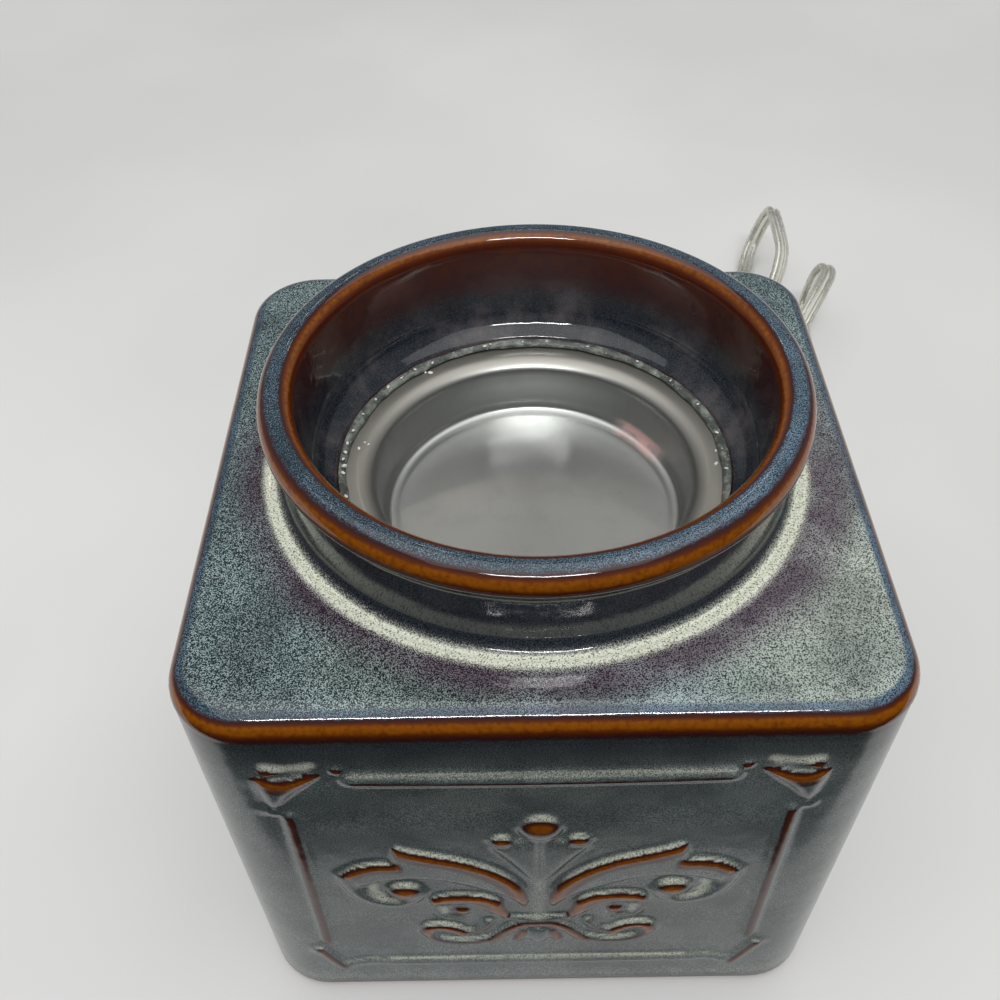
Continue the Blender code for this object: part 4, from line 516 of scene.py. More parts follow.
# Across the top face to the collar's foot, with fewer columns on the way
TOP_FACE_END_R = 0.0530
TOP_FACE_RINGS = ((0.06, 1), (0.25, 2), (0.60, 4))  # share of the way, and columns merged into one
CREAM_RING = ((0.0521, 0.0), (0.0515, 0.10), (0.0509, 0.27), (0.0504, 0.48), (0.0499, 0.76), (0.0494, 0.97))
CREAM_RING_HEIGHT = 0.00030
top_edge = square_ring(BODY_HALF - BODY_TOP_EDGE_R, BODY_CORNER_R - BODY_TOP_EDGE_R, BODY_TOP_Z)
for share, merged in TOP_FACE_RINGS:
    start = top_edge[::merged]
    goal = round_ring(TOP_FACE_END_R, BODY_TOP_Z, merged)
    add_ring(start + (goal - start) * share)
for radius, cream in CREAM_RING:
    z = BODY_TOP_Z + CREAM_RING_HEIGHT * ease(0.0514 - radius, 0.0, 0.0020)
    add_ring(round_ring(radius, z), cream=cream)

# Up the collar, over the lip, down the well, round the ledge and out under the ceiling
FOOT_CENTRE = (NECK_R + FILLET_R, BODY_TOP_Z + FILLET_R)
# The deep share climbs the collar's foot into the neck under the lip and fills the well: dark glaze and
# painted shade.
COLLAR_FOOT = (
    (262, 0.98, 0.0), (252, 0.80, 0.3), (242, 0.42, 0.8), (232, 0.30, 0.9), (220, 0.10, 1.0),
    (206, 0.0, 1.0),
    (192, 0.0, 1.0), (180, 0.0, 1.0),
)
NECK_HEIGHTS = (0.1092, 0.1112, 0.1132, 0.1150, 0.1162)
LIP_GLAZE = (  # degrees round the lip's section from straight out, amber, and deep glaze with painted shade
    (-48, 0.26, 0.6), (-36, 0.28, 0.4), (-24, 0.30, 0.2), (-12, 0.36, 0.1), (0, 0.56, 0.0), (12, 0.82, 0.0),
    (24, 0.90, 0.0), (34, 0.80, 0.0), (44, 0.56, 0.0), (53, 0.36, 0.0), (62, 0.22, 0.0), (74, 0.10, 0.0),
    (92, 0.02, 0.0), (104, 0.14, 0.0), (112, 0.36, 0.0), (120, 0.62, 0.0), (130, 0.82, 0.0),
    (140, 0.74, 0.0),
    (152, 0.54, 0.3), (166, 0.50, 0.5), (180, 0.47, 0.6),
)
WELL_WALL = ((0.1192, 0.47, 0.7), (0.1174, 0.44, 0.8), (0.1152, 0.40, 0.9), (0.1128, 0.30, 1.0),
             (0.1104, 0.17, 1.0), (0.1082, 0.12, 1.0))
WELL_TURN = (0.0358, 0.1082, 0.0060)  # radius and height of the turn's centre, and its radius
WELL_TURN_DEGREES = (-14, -28, -42, -56, -70)
LEDGE_PROFILE = (
    (LEDGE_R, 0.1018), (LEDGE_R, LEDGE_Z), (LEDGE_HOLE_R, LEDGE_Z), (LEDGE_HOLE_R, 0.0946),
    (CEILING_R, 0.0946),
    (CEILING_R, CEILING_Z),
)
CAVITY_HEIGHTS = (CEILING_Z, 0.0640, 0.0320, BODY_BOTTOM_Z)
for degrees, cream, deep_and_shade in COLLAR_FOOT:
    angle = math.radians(degrees)
    radius = FOOT_CENTRE[0] + FILLET_R * math.cos(angle)
    z = FOOT_CENTRE[1] + FILLET_R * math.sin(angle)
    add_ring(round_ring(radius, z), cream=cream, deep_and_shade=deep_and_shade)
for z in NECK_HEIGHTS:
    add_ring(round_ring(NECK_R, z), deep_and_shade=1.0)
for degrees, amber, deep_and_shade in LIP_GLAZE:
    angle = math.radians(degrees)
    ring = round_ring(LIP_R + LIP_TUBE_R * math.cos(angle), LIP_Z + LIP_TUBE_R * math.sin(angle))
    add_ring(ring, amber=amber, deep_and_shade=deep_and_shade)
for z, amber, deep_and_shade in WELL_WALL:
    radius = WELL_R + (LIP_R - LIP_TUBE_R - WELL_R) * (z - WELL_TURN[1]) / (LIP_Z - WELL_TURN[1])
    add_ring(round_ring(radius, z), amber=amber, deep_and_shade=deep_and_shade)
for degrees in WELL_TURN_DEGREES:
    angle = math.radians(degrees)
    radius = WELL_TURN[0] + WELL_TURN[2] * math.cos(angle)
    add_ring(round_ring(radius, WELL_TURN[1] + WELL_TURN[2] * math.sin(angle)), amber=0.1, deep_and_shade=1.0)
for radius, z in LEDGE_PROFILE:
    add_ring(round_ring(radius, z), amber=0.3, deep_and_shade=0.6)
for z in CAVITY_HEIGHTS:
    add_ring(square_ring(CAVITY_HALF, CAVITY_CORNER_R, z, 4), amber=0.35, deep_and_shade=0.4)
add_ring(square_ring(FOOT_RIM_HALF, FOOT_RIM_CORNER_R, BODY_BOTTOM_Z, 2), amber=0.6, deep_and_shade=0.3)

ring_starts = np.cumsum([0] + [len(points) for points, *_ in body_rings])
body_faces = []
for k, (points, *_) in enumerate(body_rings):
    after = (k + 1) % len(body_rings)
    low, high = int(ring_starts[k]), int(ring_starts[after])
    n_low, n_high = len(points), len(body_rings[after][0])
    for j in range(min(n_low, n_high)):
        if n_low == n_high:
            i = (j + 1) % n_low
            corners = [low + j, low + i, high + i, high + j]
            # The left half's faces start a corner later, so that they split as a mirror's would
            if j % (n_low // 4) < n_low // 8:
                corners = corners[1:] + corners[:1]
            body_faces.append(tuple(corners))
        elif n_low > n_high:
            middle, end = 2 * j + 1, (2 * j + 2) % n_low
            body_faces.append((low + 2 * j, low + middle, low + end, high + (j + 1) % n_high, high + j))
        else:
            middle, end = 2 * j + 1, (2 * j + 2) % n_high
            body_faces.append((low + j, low + (j + 1) % n_low, high + end, high + middle, high + 2 * j))
body_mesh = bpy.data.meshes.new("glazed_body")
body_mesh.from_pydata(np.vstack([points for points, *_ in body_rings]).tolist(), [], body_faces)
for n, name in ((1, "thin_glaze"), (2, "pooled_glaze_and_highlight"), (3, "deep_glaze_and_shade")):
    attribute = body_mesh.attributes.new(name, "FLOAT", "POINT")
    attribute.data.foreach_set("value", np.concatenate([ring[n] for ring in body_rings]).astype(np.float32))
glazed_body = bpy.data.objects.new("glazed_body", body_mesh)
bpy.context.scene.collection.objects.link(glazed_body)


def pick_only(piece):
    bpy.ops.object.select_all(action="DESELECT")
    piece.select_set(True)
    bpy.context.view_layer.objects.active = piece


def smooth_by_angle(piece, degrees):
    pick_only(piece)
    bpy.ops.object.shade_smooth_by_angle(angle=math.radians(degrees))


smooth_by_angle(glazed_body, 62)

SLATE_DARK = (0.009, 0.018, 0.025, 1)
SLATE_LIGHT = (0.360, 0.470, 0.480, 1)
GREEN_CAST = (0.380, 0.485, 0.435, 1)
SHADED_SIDE_GREY = (0.345, 0.368, 0.358, 1)
PALE_CAST_AND_SHEEN = (0.560, 0.620, 0.550, 1)
BLUE_CAST = (0.150, 0.235, 0.330, 1)
PLUM_DARK = (0.024, 0.011, 0.022, 1)
PLUM_LIGHT = (0.235, 0.205, 0.240, 1)
CREAM = (0.90, 0.93, 0.78, 1)
CREAM_SPECK = (0.15, 0.165, 0.120, 1)
AMBER = (0.255, 0.074, 0.003, 1)
AMBER_DARK = (0.085, 0.015, 0.002, 1)
MAROON = (0.036, 0.009, 0.009, 1)
NAVY = (0.009, 0.012, 0.020, 1)
WAX_HAZE = (0.150, 0.128, 0.130, 1)
PALE_DRIFT_AND_SHEEN = (0.047, -0.034, BODY_TOP_Z)  # where the top is palest: partly paler glaze, partly painted reflection
PLUM_CENTRE = (0.0018, 0.0, BODY_TOP_Z)
PLUM_BAND = (0.0600, 0.0525)  # from nothing to its full strength, by distance from its centre
SPECKLE_SIZE = 0.00021
CREAM_SPECK_SIZE = 0.00032
AMBER_GRAIN_SIZE = 0.0009
EDGE_RIPPLE_SIZE = 0.0022
SURFACE_WAVE_SIZE = 0.006
CLOUD_SIZE = 0.011
HAZE_SIZE = 0.012
CAST_SIZE = 0.045
SIDE_ROUGHNESS = 0.17
TOP_ROUGHNESS = 0.06


def reckon(operation, first, second=0.0):
    node = add_node(tree_of(first, second), "Math", {0: first, 1: second}, operation=operation)
    return node.outputs[0]


def plus(first, second):
    return reckon("ADD", first, second)


def minus(first, second):
    return reckon("SUBTRACT", first, second)


def times(first, second):
    return reckon("MULTIPLY", first, second)


def distance_to_point(place, point):
    sockets = {0: place, 1: point}
    return add_node(tree_of(place), "VectorMath", sockets, operation="DISTANCE").outputs["Value"]


def distance_to_axis(across, backward):
    level = add_node(tree_of(across), "CombineXYZ", {0: across, 1: backward}).outputs[0]
    return add_node(tree_of(level), "VectorMath", {0: level}, operation="LENGTH").outputs["Value"]


def bumps(height, strength, distance):
    sockets = {"Strength": strength, "Distance": distance, "Height": height}
    return add_node(tree_of(height), "Bump", sockets).outputs["Normal"]


reactive_glaze, tree, shader = new_finish("reactive_glaze", IOR=1.5)
place = object_place(tree)
thin = add_node(tree, "Attribute", attribute_name="thin_glaze").outputs["Fac"]
pooled_and_highlight = add_node(tree, "Attribute", attribute_name="pooled_glaze_and_highlight").outputs["Fac"]
deep_and_shade = add_node(tree, "Attribute", attribute_name="deep_glaze_and_shade").outputs["Fac"]
across, backward, upward = add_node(tree, "SeparateXYZ", {0: place}).outputs
from_axis = distance_to_axis(across, backward)
from_drift_and_sheen = distance_to_point(place, PALE_DRIFT_AND_SHEEN)
on_top = spread(upward, BODY_TOP_Z - 0.0050, BODY_TOP_Z - 0.0010)
on_lip = spread(upward, LIP_Z - 0.001, LIP_Z + 0.001)
cloud = mottle(place, CLOUD_SIZE, 3.0, 0.55)

# The speckle is open and pale on the top and lip, and fainter and darker down the sides: partly thinner
# glaze, partly painted shade. It is paler towards the top's front right and darker away from it: partly
# glaze, partly painted reflection.
grains = plus(mottle(place, SPECKLE_SIZE, 1.5, 0.6), spread(from_drift_and_sheen, 0.100, 0.008, -0.045, 0.025))
speckle = spread(minus(grains, times(on_lip, 0.02)), 0.43, 0.57)
speckle = times(speckle, spread(on_top, 0.0, 1.0, 0.42, 1.0))
speckle = plus(speckle, spread(on_top, 0.0, 1.0, 0.20, 0.0))

# Slate, cast plum round the collar, blue beside the amber, green in drifts, a pale spot on the top's front
# right that is partly painted reflection, and grey down the sides that is partly painted shade
plum = times(spread(distance_to_point(place, PLUM_CENTRE), *PLUM_BAND), spread(cloud, 0.30, 0.62, 0.60, 1.0))
plum = times(plum, spread(upward, BODY_TOP_Z - 0.002, BODY_TOP_Z - 0.001))
plum = times(plum, minus(1.0, on_lip))
blue = reckon("MAXIMUM", times(on_top, spread(thin, 0.02, 0.07)), times(on_lip, 0.9))
light_part = mix_colours(spread(mottle(place, CAST_SIZE), 0.42, 0.60), SLATE_LIGHT, GREEN_CAST)
light_part = mix_colours(spread(on_top, 0.0, 1.0, 0.7, 0.0), light_part, SHADED_SIDE_GREY)
light_part = mix_colours(spread(from_drift_and_sheen, 0.040, 0.006), light_part, PALE_CAST_AND_SHEEN)
light_part = mix_colours(blue, light_part, BLUE_CAST)
light_part = mix_colours(plum, light_part, PLUM_LIGHT)
dark_part = mix_colours(plum, SLATE_DARK, PLUM_DARK)
colour = mix_colours(times(speckle, spread(cloud, 0.72, 0.32, 0.55, 1.0)), dark_part, light_part)
# Where the deep share is high (under the lip, up the collar's foot, in the well and inside), the colour is
# dark glaze and painted shade.
dark_glaze_and_shade = mix_colours(times(speckle, 0.06), NAVY, SLATE_LIGHT)
colour = mix_colours(times(deep_and_shade, 0.96), colour, dark_glaze_and_shade)

# Cream where the glaze has pooled, with painted highlight lines along the ornament's lower outlines, then
# maroon and amber where it has run thin
cream = mix_colours(spread(mottle(place, CREAM_SPECK_SIZE, 2.0, 0.6), 0.33, 0.50), CREAM_SPECK, CREAM)
pool_and_highlight_edge = plus(pooled_and_highlight, times(minus(speckle, 0.5), 0.20))
colour = mix_colours(spread(pool_and_highlight_edge, 0.16, 0.86), colour, cream)
thin_edge = plus(thin, times(minus(mottle(place, EDGE_RIPPLE_SIZE, 3.0), 0.5), 0.25))
colour = mix_colours(spread(thin_edge, 0.10, 0.36), colour, MAROON)
richness = times(spread(thin, 0.45, 1.0), mottle(place, AMBER_GRAIN_SIZE, 3.0))
amber = mix_colours(spread(richness, 0.0, 0.55), AMBER_DARK, AMBER)
colour = mix_colours(spread(thin_edge, 0.34, 0.62), colour, amber)

# A haze of old wax low in the well
in_well = spread(from_axis, WELL_R + 0.0008, WELL_R - 0.0002)
in_well = times(in_well, spread(upward, LEDGE_Z, LEDGE_Z + 0.001))
in_well = times(in_well, spread(upward, LIP_Z - 0.005, LIP_Z - 0.011))
haze = spread(mottle(place, HAZE_SIZE, 5.0, 0.65), 0.42, 0.75, 0.0, 0.55)
colour = mix_colours(times(in_well, haze), colour, WAX_HAZE)

waves = plus(mottle(place, SURFACE_WAVE_SIZE), times(speckle, 0.008))
roughness = spread(on_top, 0.0, 1.0, SIDE_ROUGHNESS, TOP_ROUGHNESS)
feed(shader, Base_Color=colour, Roughness=roughness, Normal=bumps(waves, 0.25, 0.0004))
body_mesh.materials.append(reactive_glaze)
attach(glazed_body, "warmer")
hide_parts("ceramic_body")

# Pan
# A shallow dish spun from one millimetre aluminium sheet, satin inside, that drops into the collar and
# hangs by its flange. Old wax has left a faint film, a pink smear at the back right and a few specks.
PAN_STEPS = 160
PAN_SHEET = 0.0010
PAN_PROFILE = (
    (0.03620, 0.10072), (0.03606, 0.10086), (0.03560, 0.10090), (0.03440, 0.10092), (0.03330, 0.10090),
    (0.03245, 0.10078), (0.03160, 0.10046), (0.03085, 0.10003), (0.03030, 0.09950), (0.02998, 0.09885),
    (0.02984, 0.09800), (0.02968, 0.09600), (0.02950, 0.09350), (0.02926, 0.09130), (0.02912, 0.09060),
    (0.02880, 0.08996), (0.02828, 0.08956), (0.02760, 0.08942), (0.02700, 0.08944), (0.02655, 0.08955),
    (0.02600, 0.08958), (0.02500, 0.08950), (0.02300, 0.08946), (0.01800, 0.08943), (0.01200, 0.08941),
    (0.00600, 0.08940), (0.00150, 0.08940),
)


def face_outwards(piece, merge=0.0):
    """Merges the corners that lie within that distance, and turns the faces outwards."""
    pick_only(piece)
    bpy.ops.object.mode_set(mode="EDIT")
    bpy.ops.mesh.select_all(action="SELECT")
    if merge:
        bpy.ops.mesh.remove_doubles(threshold=merge)
    bpy.ops.mesh.normals_make_consistent(inside=False)
    bpy.ops.object.mode_set(mode="OBJECT")


def skin_rings(name, corners, count, close_start=True, close_end=True):
    """A new piece whose skin runs from each ring of that many corners to the next."""
    faces = []
    for ring in range(0, len(corners) - count, count):
        for k in range(count):
            n = (k + 1) % count
            faces.append((ring + k, ring + n, ring + count + n, ring + count + k))
    if close_start:
        faces.append(tuple(range(count))[::-1])
    if close_end:
        faces.append(tuple(range(len(corners) - count, len(corners))))
    mesh = bpy.data.meshes.new(name)
    mesh.from_pydata(corners, [], faces)
    mesh.update()
    piece = bpy.data.objects.new(name, mesh)
    bpy.context.scene.collection.objects.link(piece)
    return piece


def throw_rings(name, profile, steps, close_end=True, close_start=False):
    """Turns a profile of (radius, height) points about Z, with that many steps round."""
    turns = [2 * math.pi * step / steps for step in range(steps)]
    corners = [
        (radius * math.cos(turn), radius * math.sin(turn), height)
        for radius, height in profile for turn in turns
    ]
    piece = skin_rings(name, corners, steps, close_start, close_end)
    face_outwards(piece)
    return piece


def bake_modifiers(piece):
    pick_only(piece)
    for modifier in list(piece.modifiers):
        bpy.ops.object.modifier_apply(modifier=modifier.name)


pan = throw_rings("spun_pan", PAN_PROFILE, PAN_STEPS)
if pan.data.polygons[-1].normal.z < 0:  # the last face is the pan's floor, which looks up
    pan.data.flip_normals()
sheet = pan.modifiers.new("sheet", "SOLIDIFY")
sheet.thickness = PAN_SHEET
sheet.offset = -1
sheet.use_even_offset = True
bake_modifiers(pan)
smooth_by_angle(pan, 50)

SPUN_METAL = (0.47, 0.48, 0.47, 1)
FILMED_METAL = (0.43, 0.44, 0.425, 1)
# The flange has a matte beige finish of its own. Its colour is also darkened as painted shade, standing for
# the dark well it mirrors.
SHADED_FLANGE_METAL = (0.36, 0.35, 0.32, 1)
PINK_WAX = (0.60, 0.27, 0.25, 1)
BURNT_SPECK = (0.25, 0.24, 0.22, 1)
TOOL_MARK_PITCH = 0.00022
FLANGE_START = (0.0300, 0.0316)
SMEAR_IN = (0.0262, 0.0283)  # the pink smear lies along the pan's low corner
SMEAR_TOP = (0.0924, 0.0911)
SMEAR_START = math.radians(24)  # round from the right
SMEAR_END = math.radians(51)
spun_aluminium, tree, shader = new_finish(
    "spun_aluminium", Metallic=1.0, Anisotropic=0.2, Coat_Weight=0.4, Coat_Roughness=0.14
)
place = object_place(tree)
across, backward, upward = add_node(tree, "SeparateXYZ", {0: place}).outputs
radius = distance_to_axis(across, backward)
tool_marks = mottle(add_node(tree, "CombineXYZ", {0: radius}).outputs[0], TOOL_MARK_PITCH)
film = spread(mottle(place, 0.006, 4.0, 0.6), 0.45, 0.75)
on_flange = spread(radius, *FLANGE_START)
metal = mix_colours(on_flange, mix_colours(film, SPUN_METAL, FILMED_METAL), SHADED_FLANGE_METAL)
around = reckon("ARCTAN2", backward, across)
smear = times(spread(radius, *SMEAR_IN), spread(upward, *SMEAR_TOP))
smear = times(smear, spread(around, SMEAR_START - 0.04, SMEAR_START + 0.10))
smear = times(smear, spread(around, SMEAR_END + 0.04, SMEAR_END - 0.08))
smear = times(smear, spread(mottle(place, 0.0030, 3.0), 0.32, 0.60, 0.30, 1.0))
metal = mix_colours(times(smear, 0.65), metal, PINK_WAX)
specks = spread(mottle(place, 0.0011, 3.0), 0.73, 0.77)
metal = mix_colours(times(specks, 0.5), metal, BURNT_SPECK)
rough = plus(plus(times(film, 0.03), times(tool_marks, 0.10)), times(on_flange, 0.14))
feed(shader, Base_Color=metal, Metallic=minus(1.0, smear), Roughness=plus(rough, 0.28))
feed(shader, Normal=bumps(tool_marks, 0.04, 0.0001))
pan.data.materials.append(spun_aluminium)
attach(pan, "warmer")
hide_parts("heating_plate")

# Sealant bead and wax crumbs
# A hand-run bead of clear silicone closes the gap between the flange and the collar. It is uneven,
# cloudy with age, and white crumbs of dried wax stick to it and to the flange.
SEAL_STEPS = 180
SEAL_PROFILE = (
    (0.03685, 0.10120), (0.03545, 0.10120), (0.03548, 0.10145), (0.03575, 0.10178), (0.03625, 0.10205),
    (0.03665, 0.10215), (0.03690, 0.10205), (0.03690, 0.10120),
)
SEAL_MERGE = 0.00002
SEAL_R = 0.0360
SEAL_FIXED_R = 0.0366  # from here out the bead is pressed against the collar
SEAL_CROWN_Z = 0.1014
SEAL_WAVER = 0.00013  # sideways
SEAL_LUMPS = 0.00009  # up and down
SILICONE_CLEAR = (0.060, 0.068, 0.062, 1)
SILICONE_CLOUDY = (0.24, 0.265, 0.235, 1)
SILICONE_CRUMBS = (0.70, 0.71, 0.67, 1)

seal = throw_rings("sealant_bead", SEAL_PROFILE, SEAL_STEPS, close_end=False)
face_outwards(seal, SEAL_MERGE)
for vertex in seal.data.vertices:
    angle = math.atan2(vertex.co.y, vertex.co.x)
    uneven = math.sin(5 * angle + 1) + math.sin(11 * angle + 2.2) + 0.7 * math.sin(23 * angle + 0.6)
    uneven += 0.5 * math.sin(47 * angle + 1.9)
    if math.hypot(vertex.co.x, vertex.co.y) < SEAL_FIXED_R:
        pull = 1 - SEAL_WAVER * uneven / SEAL_R
        vertex.co.x *= pull
        vertex.co.y *= pull
    if vertex.co.z > SEAL_CROWN_Z:
        vertex.co.z += SEAL_LUMPS * uneven
smooth_by_angle(seal, 60)
cloudy_silicone, tree, shader = new_finish("cloudy_silicone", Roughness=0.35)
place = object_place(tree)
clouds = spread(mottle(place, 0.0022, 4.0, 0.6), 0.40, 0.68)
tone = mix_colours(clouds, SILICONE_CLEAR, SILICONE_CLOUDY)
crumbs = spread(mottle(place, 0.0005, 3.0, 0.6), 0.64, 0.72)
feed(shader, Base_Color=mix_colours(crumbs, tone, SILICONE_CRUMBS), Normal=bumps(clouds, 0.5, 0.0003))
seal.data.materials.append(cloudy_silicone)
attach(seal, "warmer")
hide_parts("plate_seal")

WAX_CRUMBS = (  # degrees round the pan, distance from the middle, size, in millimetres
    (126.8, 34.4, 0.55), (128.0, 35.2, 0.35), (124.5, 35.6, 0.40), (105.1, 35.8, 0.45), (103.0, 36.2, 0.30),
    (171.7, 34.0, 0.45), (169.4, 32.4, 0.32), (168.6, 33.3, 0.28), (176.0, 36.0, 0.50), (179.0, 36.2, 0.42),
    (182.0, 35.8, 0.55), (185.0, 36.0, 0.45), (172.0, 36.1, 0.50), (166.0, 36.0, 0.38), (158.0, 36.1, 0.35),
    (150.0, 36.0, 0.40), (143.0, 36.2, 0.45), (137.0, 36.0, 0.35), (131.0, 36.1, 0.40), (92.0, 36.0, 0.30),
    (84.0, 36.2, 0.34), (70.0, 36.0, 0.30), (52.0, 36.2, 0.36), (38.0, 36.0, 0.32), (24.0, 36.1, 0.36),
    (10.0, 36.0, 0.42), (4.0, 34.9, 0.30), (-2.0, 34.4, 0.50), (-6.0, 36.0, 0.40), (195.0, 36.0, 0.50),
    (207.0, 36.0, 0.42), (225.0, 36.1, 0.36), (260.0, 36.0, 0.40), (300.0, 36.1, 0.38), (330.0, 36.0, 0.45),
)
CRUMB_SHAPE = (1.0, 0.62, 0.42)
CRUMB_TURN = 0.9  # radians from each crumb to the next
CRUMB_RAGGED = 0.22  # how far its corners move, as a share of its size
CRUMB_LIFT = 0.00018  # for each millimetre of its size
BEAD_FROM = 35.2  # crumbs farther out than this lie on the bead, and the others on the flange
BEAD_TOP_Z = 0.1021
FLANGE_TOP_Z = 0.10090
WAX_DARK = (0.60, 0.60, 0.55, 1)
WAX_LIGHT = (0.86, 0.86, 0.82, 1)


def join_pieces(pieces, name):
    bpy.ops.object.select_all(action="DESELECT")
    for piece in pieces:
        piece.select_set(True)
    bpy.context.view_layer.objects.active = pieces[0]
    bpy.ops.object.join()
    pieces[0].name = name
    return pieces[0]


crumb_pieces = []
for turn, (degrees, away, size) in enumerate(WAX_CRUMBS):
    angle = math.radians(degrees)
    top = BEAD_TOP_Z if away > BEAD_FROM else FLANGE_TOP_Z
    spot = (away / 1000 * math.cos(angle), away / 1000 * math.sin(angle), top + size * CRUMB_LIFT)
    bpy.ops.mesh.primitive_ico_sphere_add(subdivisions=2, radius=size / 1000, location=spot)
    bpy.ops.object.mode_set(mode="EDIT")
    bpy.ops.mesh.select_all(action="SELECT")
    bpy.ops.transform.resize(value=CRUMB_SHAPE, center_override=spot)
    bpy.ops.transform.rotate(value=turn * CRUMB_TURN, orient_axis="Z", center_override=spot)
    bpy.ops.transform.vertex_random(offset=size / 1000 * CRUMB_RAGGED, seed=turn)
    bpy.ops.object.mode_set(mode="OBJECT")
    crumb_pieces.append(bpy.context.object)
wax_crumbs = join_pieces(crumb_pieces, "wax_crumbs")
bpy.ops.object.transform_apply(location=True, rotation=True, scale=True)
smooth_by_angle(wax_crumbs, 50)
old_wax, tree, shader = new_finish("old_wax", Roughness=0.45, Subsurface_Weight=0.3, Subsurface_Scale=0.0006)
shader.inputs["Subsurface Radius"].default_value = (1.0, 0.8, 0.7)
feed(shader, Base_Color=mix_colours(mottle(object_place(tree), 0.0006), WAX_DARK, WAX_LIGHT))
wax_crumbs.data.materials.append(old_wax)
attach(wax_crumbs, "warmer")

# Heater under the pan
# A mica disc heater, a felt pad and a steel clamp plate hang from one stud, with a thermal fuse
# strapped below and an aluminium heat shield on a spacer. Nuts and a washer hold the stack.
GRAIN_BREADTH = 0.06  # the broad grain's scale as a share of the fine one's

surface_grain = bpy.data.node_groups.new("surface_grain", "ShaderNodeTree")
surface_grain.interface.new_socket("Size", in_out="INPUT", socket_type="NodeSocketFloat")
surface_grain.interface.new_socket("Fine", in_out="OUTPUT", socket_type="NodeSocketFloat")
surface_grain.interface.new_socket("Broad", in_out="OUTPUT", socket_type="NodeSocketFloat")
entry = surface_grain.nodes.new("NodeGroupInput")
leave = surface_grain.nodes.new("NodeGroupOutput")
place = object_place(surface_grain)
fine_scale = reckon("DIVIDE", 1.0, entry.outputs["Size"])
for socket, scale in (("Fine", fine_scale), ("Broad", times(fine_scale, GRAIN_BREADTH))):
    noise = add_node(surface_grain, "TexNoise", {"Vector": place, "Scale": scale, "Detail": 3.0})
    surface_grain.links.new(noise.outputs["Fac"], leave.inputs[socket])


def grained_finish(name, dark, light, grain, rough, depth, metallic=0.0):
    """A finish whose tone, roughness and bump come from a grain of that size."""
    material, tree, shader = new_finish(name, Metallic=metallic)
    group = tree.nodes.new("ShaderNodeGroup")
    group.node_tree = surface_grain
    group.inputs["Size"].default_value = grain
    fine, broad = group.outputs["Fine"], group.outputs["Broad"]
    tone = spread(plus(times(fine, 0.45), times(broad, 0.55)), 0.38, 0.62)
    colour = mix_colours(tone, (*dark, 1), (*light, 1))
    roughness = spread(broad, 0.3, 0.7, *rough)
    feed(shader, Base_Color=colour, Roughness=roughness, Normal=bumps(fine, 0.3, depth))
    return material


def refinish(material, *nodes):
    """Gives CAD nodes whose shape is right a better finish."""
    for name in nodes:
        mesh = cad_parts[name].data
        if not mesh.materials:
            mesh.materials.append(material)
        for i in range(len(mesh.materials)):
            mesh.materials[i] = material


zinc_steel = grained_finish(
    "zinc_steel", (0.38, 0.39, 0.40), (0.60, 0.61, 0.61),
    grain=0.0006, rough=(0.25, 0.45), depth=0.00003, metallic=1.0,
)
shield_aluminium = grained_finish(
    "shield_aluminium", (0.52, 0.52, 0.52), (0.70, 0.70, 0.70),
    grain=0.0009, rough=(0.30, 0.5), depth=0.00004, metallic=1.0,
)
mica_sheet = grained_finish(
    "mica_sheet", (0.30, 0.23, 0.14), (0.58, 0.50, 0.34),
    grain=0.0011, rough=(0.30, 0.55), depth=0.00005,
)
felt_pad = grained_finish(
    "felt_pad", (0.55, 0.54, 0.50), (0.82, 0.81, 0.77),
    grain=0.0004, rough=(0.85, 0.98), depth=0.0002,
)
cast_brass = grained_finish(
    "cast_brass", (0.52, 0.36, 0.13), (0.78, 0.60, 0.28),
    grain=0.0005, rough=(0.20, 0.40), depth=0.00002, metallic=1.0,
)
white_nylon = grained_finish(
    "white_nylon", (0.62, 0.62, 0.58), (0.78, 0.78, 0.74),
    grain=0.0007, rough=(0.35, 0.55), depth=0.00003,
)
wire_insulation = grained_finish(
    "wire_insulation", (0.66, 0.66, 0.60), (0.84, 0.84, 0.78),
    grain=0.0005, rough=(0.40, 0.60), depth=0.00003,
)
refinish(zinc_steel, "clamp_stud", "clamp_plate", "clamp_nut", "shield_nut", "shield_spacer",
         "shield_washer", "fuse_strap", "switch_screw_a", "switch_screw_b")
refinish(shield_aluminium, "heat_shield")
refinish(mica_sheet, "heater_element")
refinish(felt_pad, "insulation_pad")
refinish(cast_brass, "switch_contact_middle", "switch_contact_end", "switch_arm")
refinish(white_nylon, "thermal_fuse", "crimp_connector_neutral", "crimp_connector_live",
         "corner_block_front_left", "corner_block_front_right", "corner_block_back_left",
         "corner_block_back_right")
refinish(wire_insulation, "fuse_sleeve", "lead_neutral", "lead_live", "lead_fuse_to_heater",
         "cord_core_neutral", "cord_core_live", "switch_lead_in", "switch_lead_out", "switch_lead_neutral")

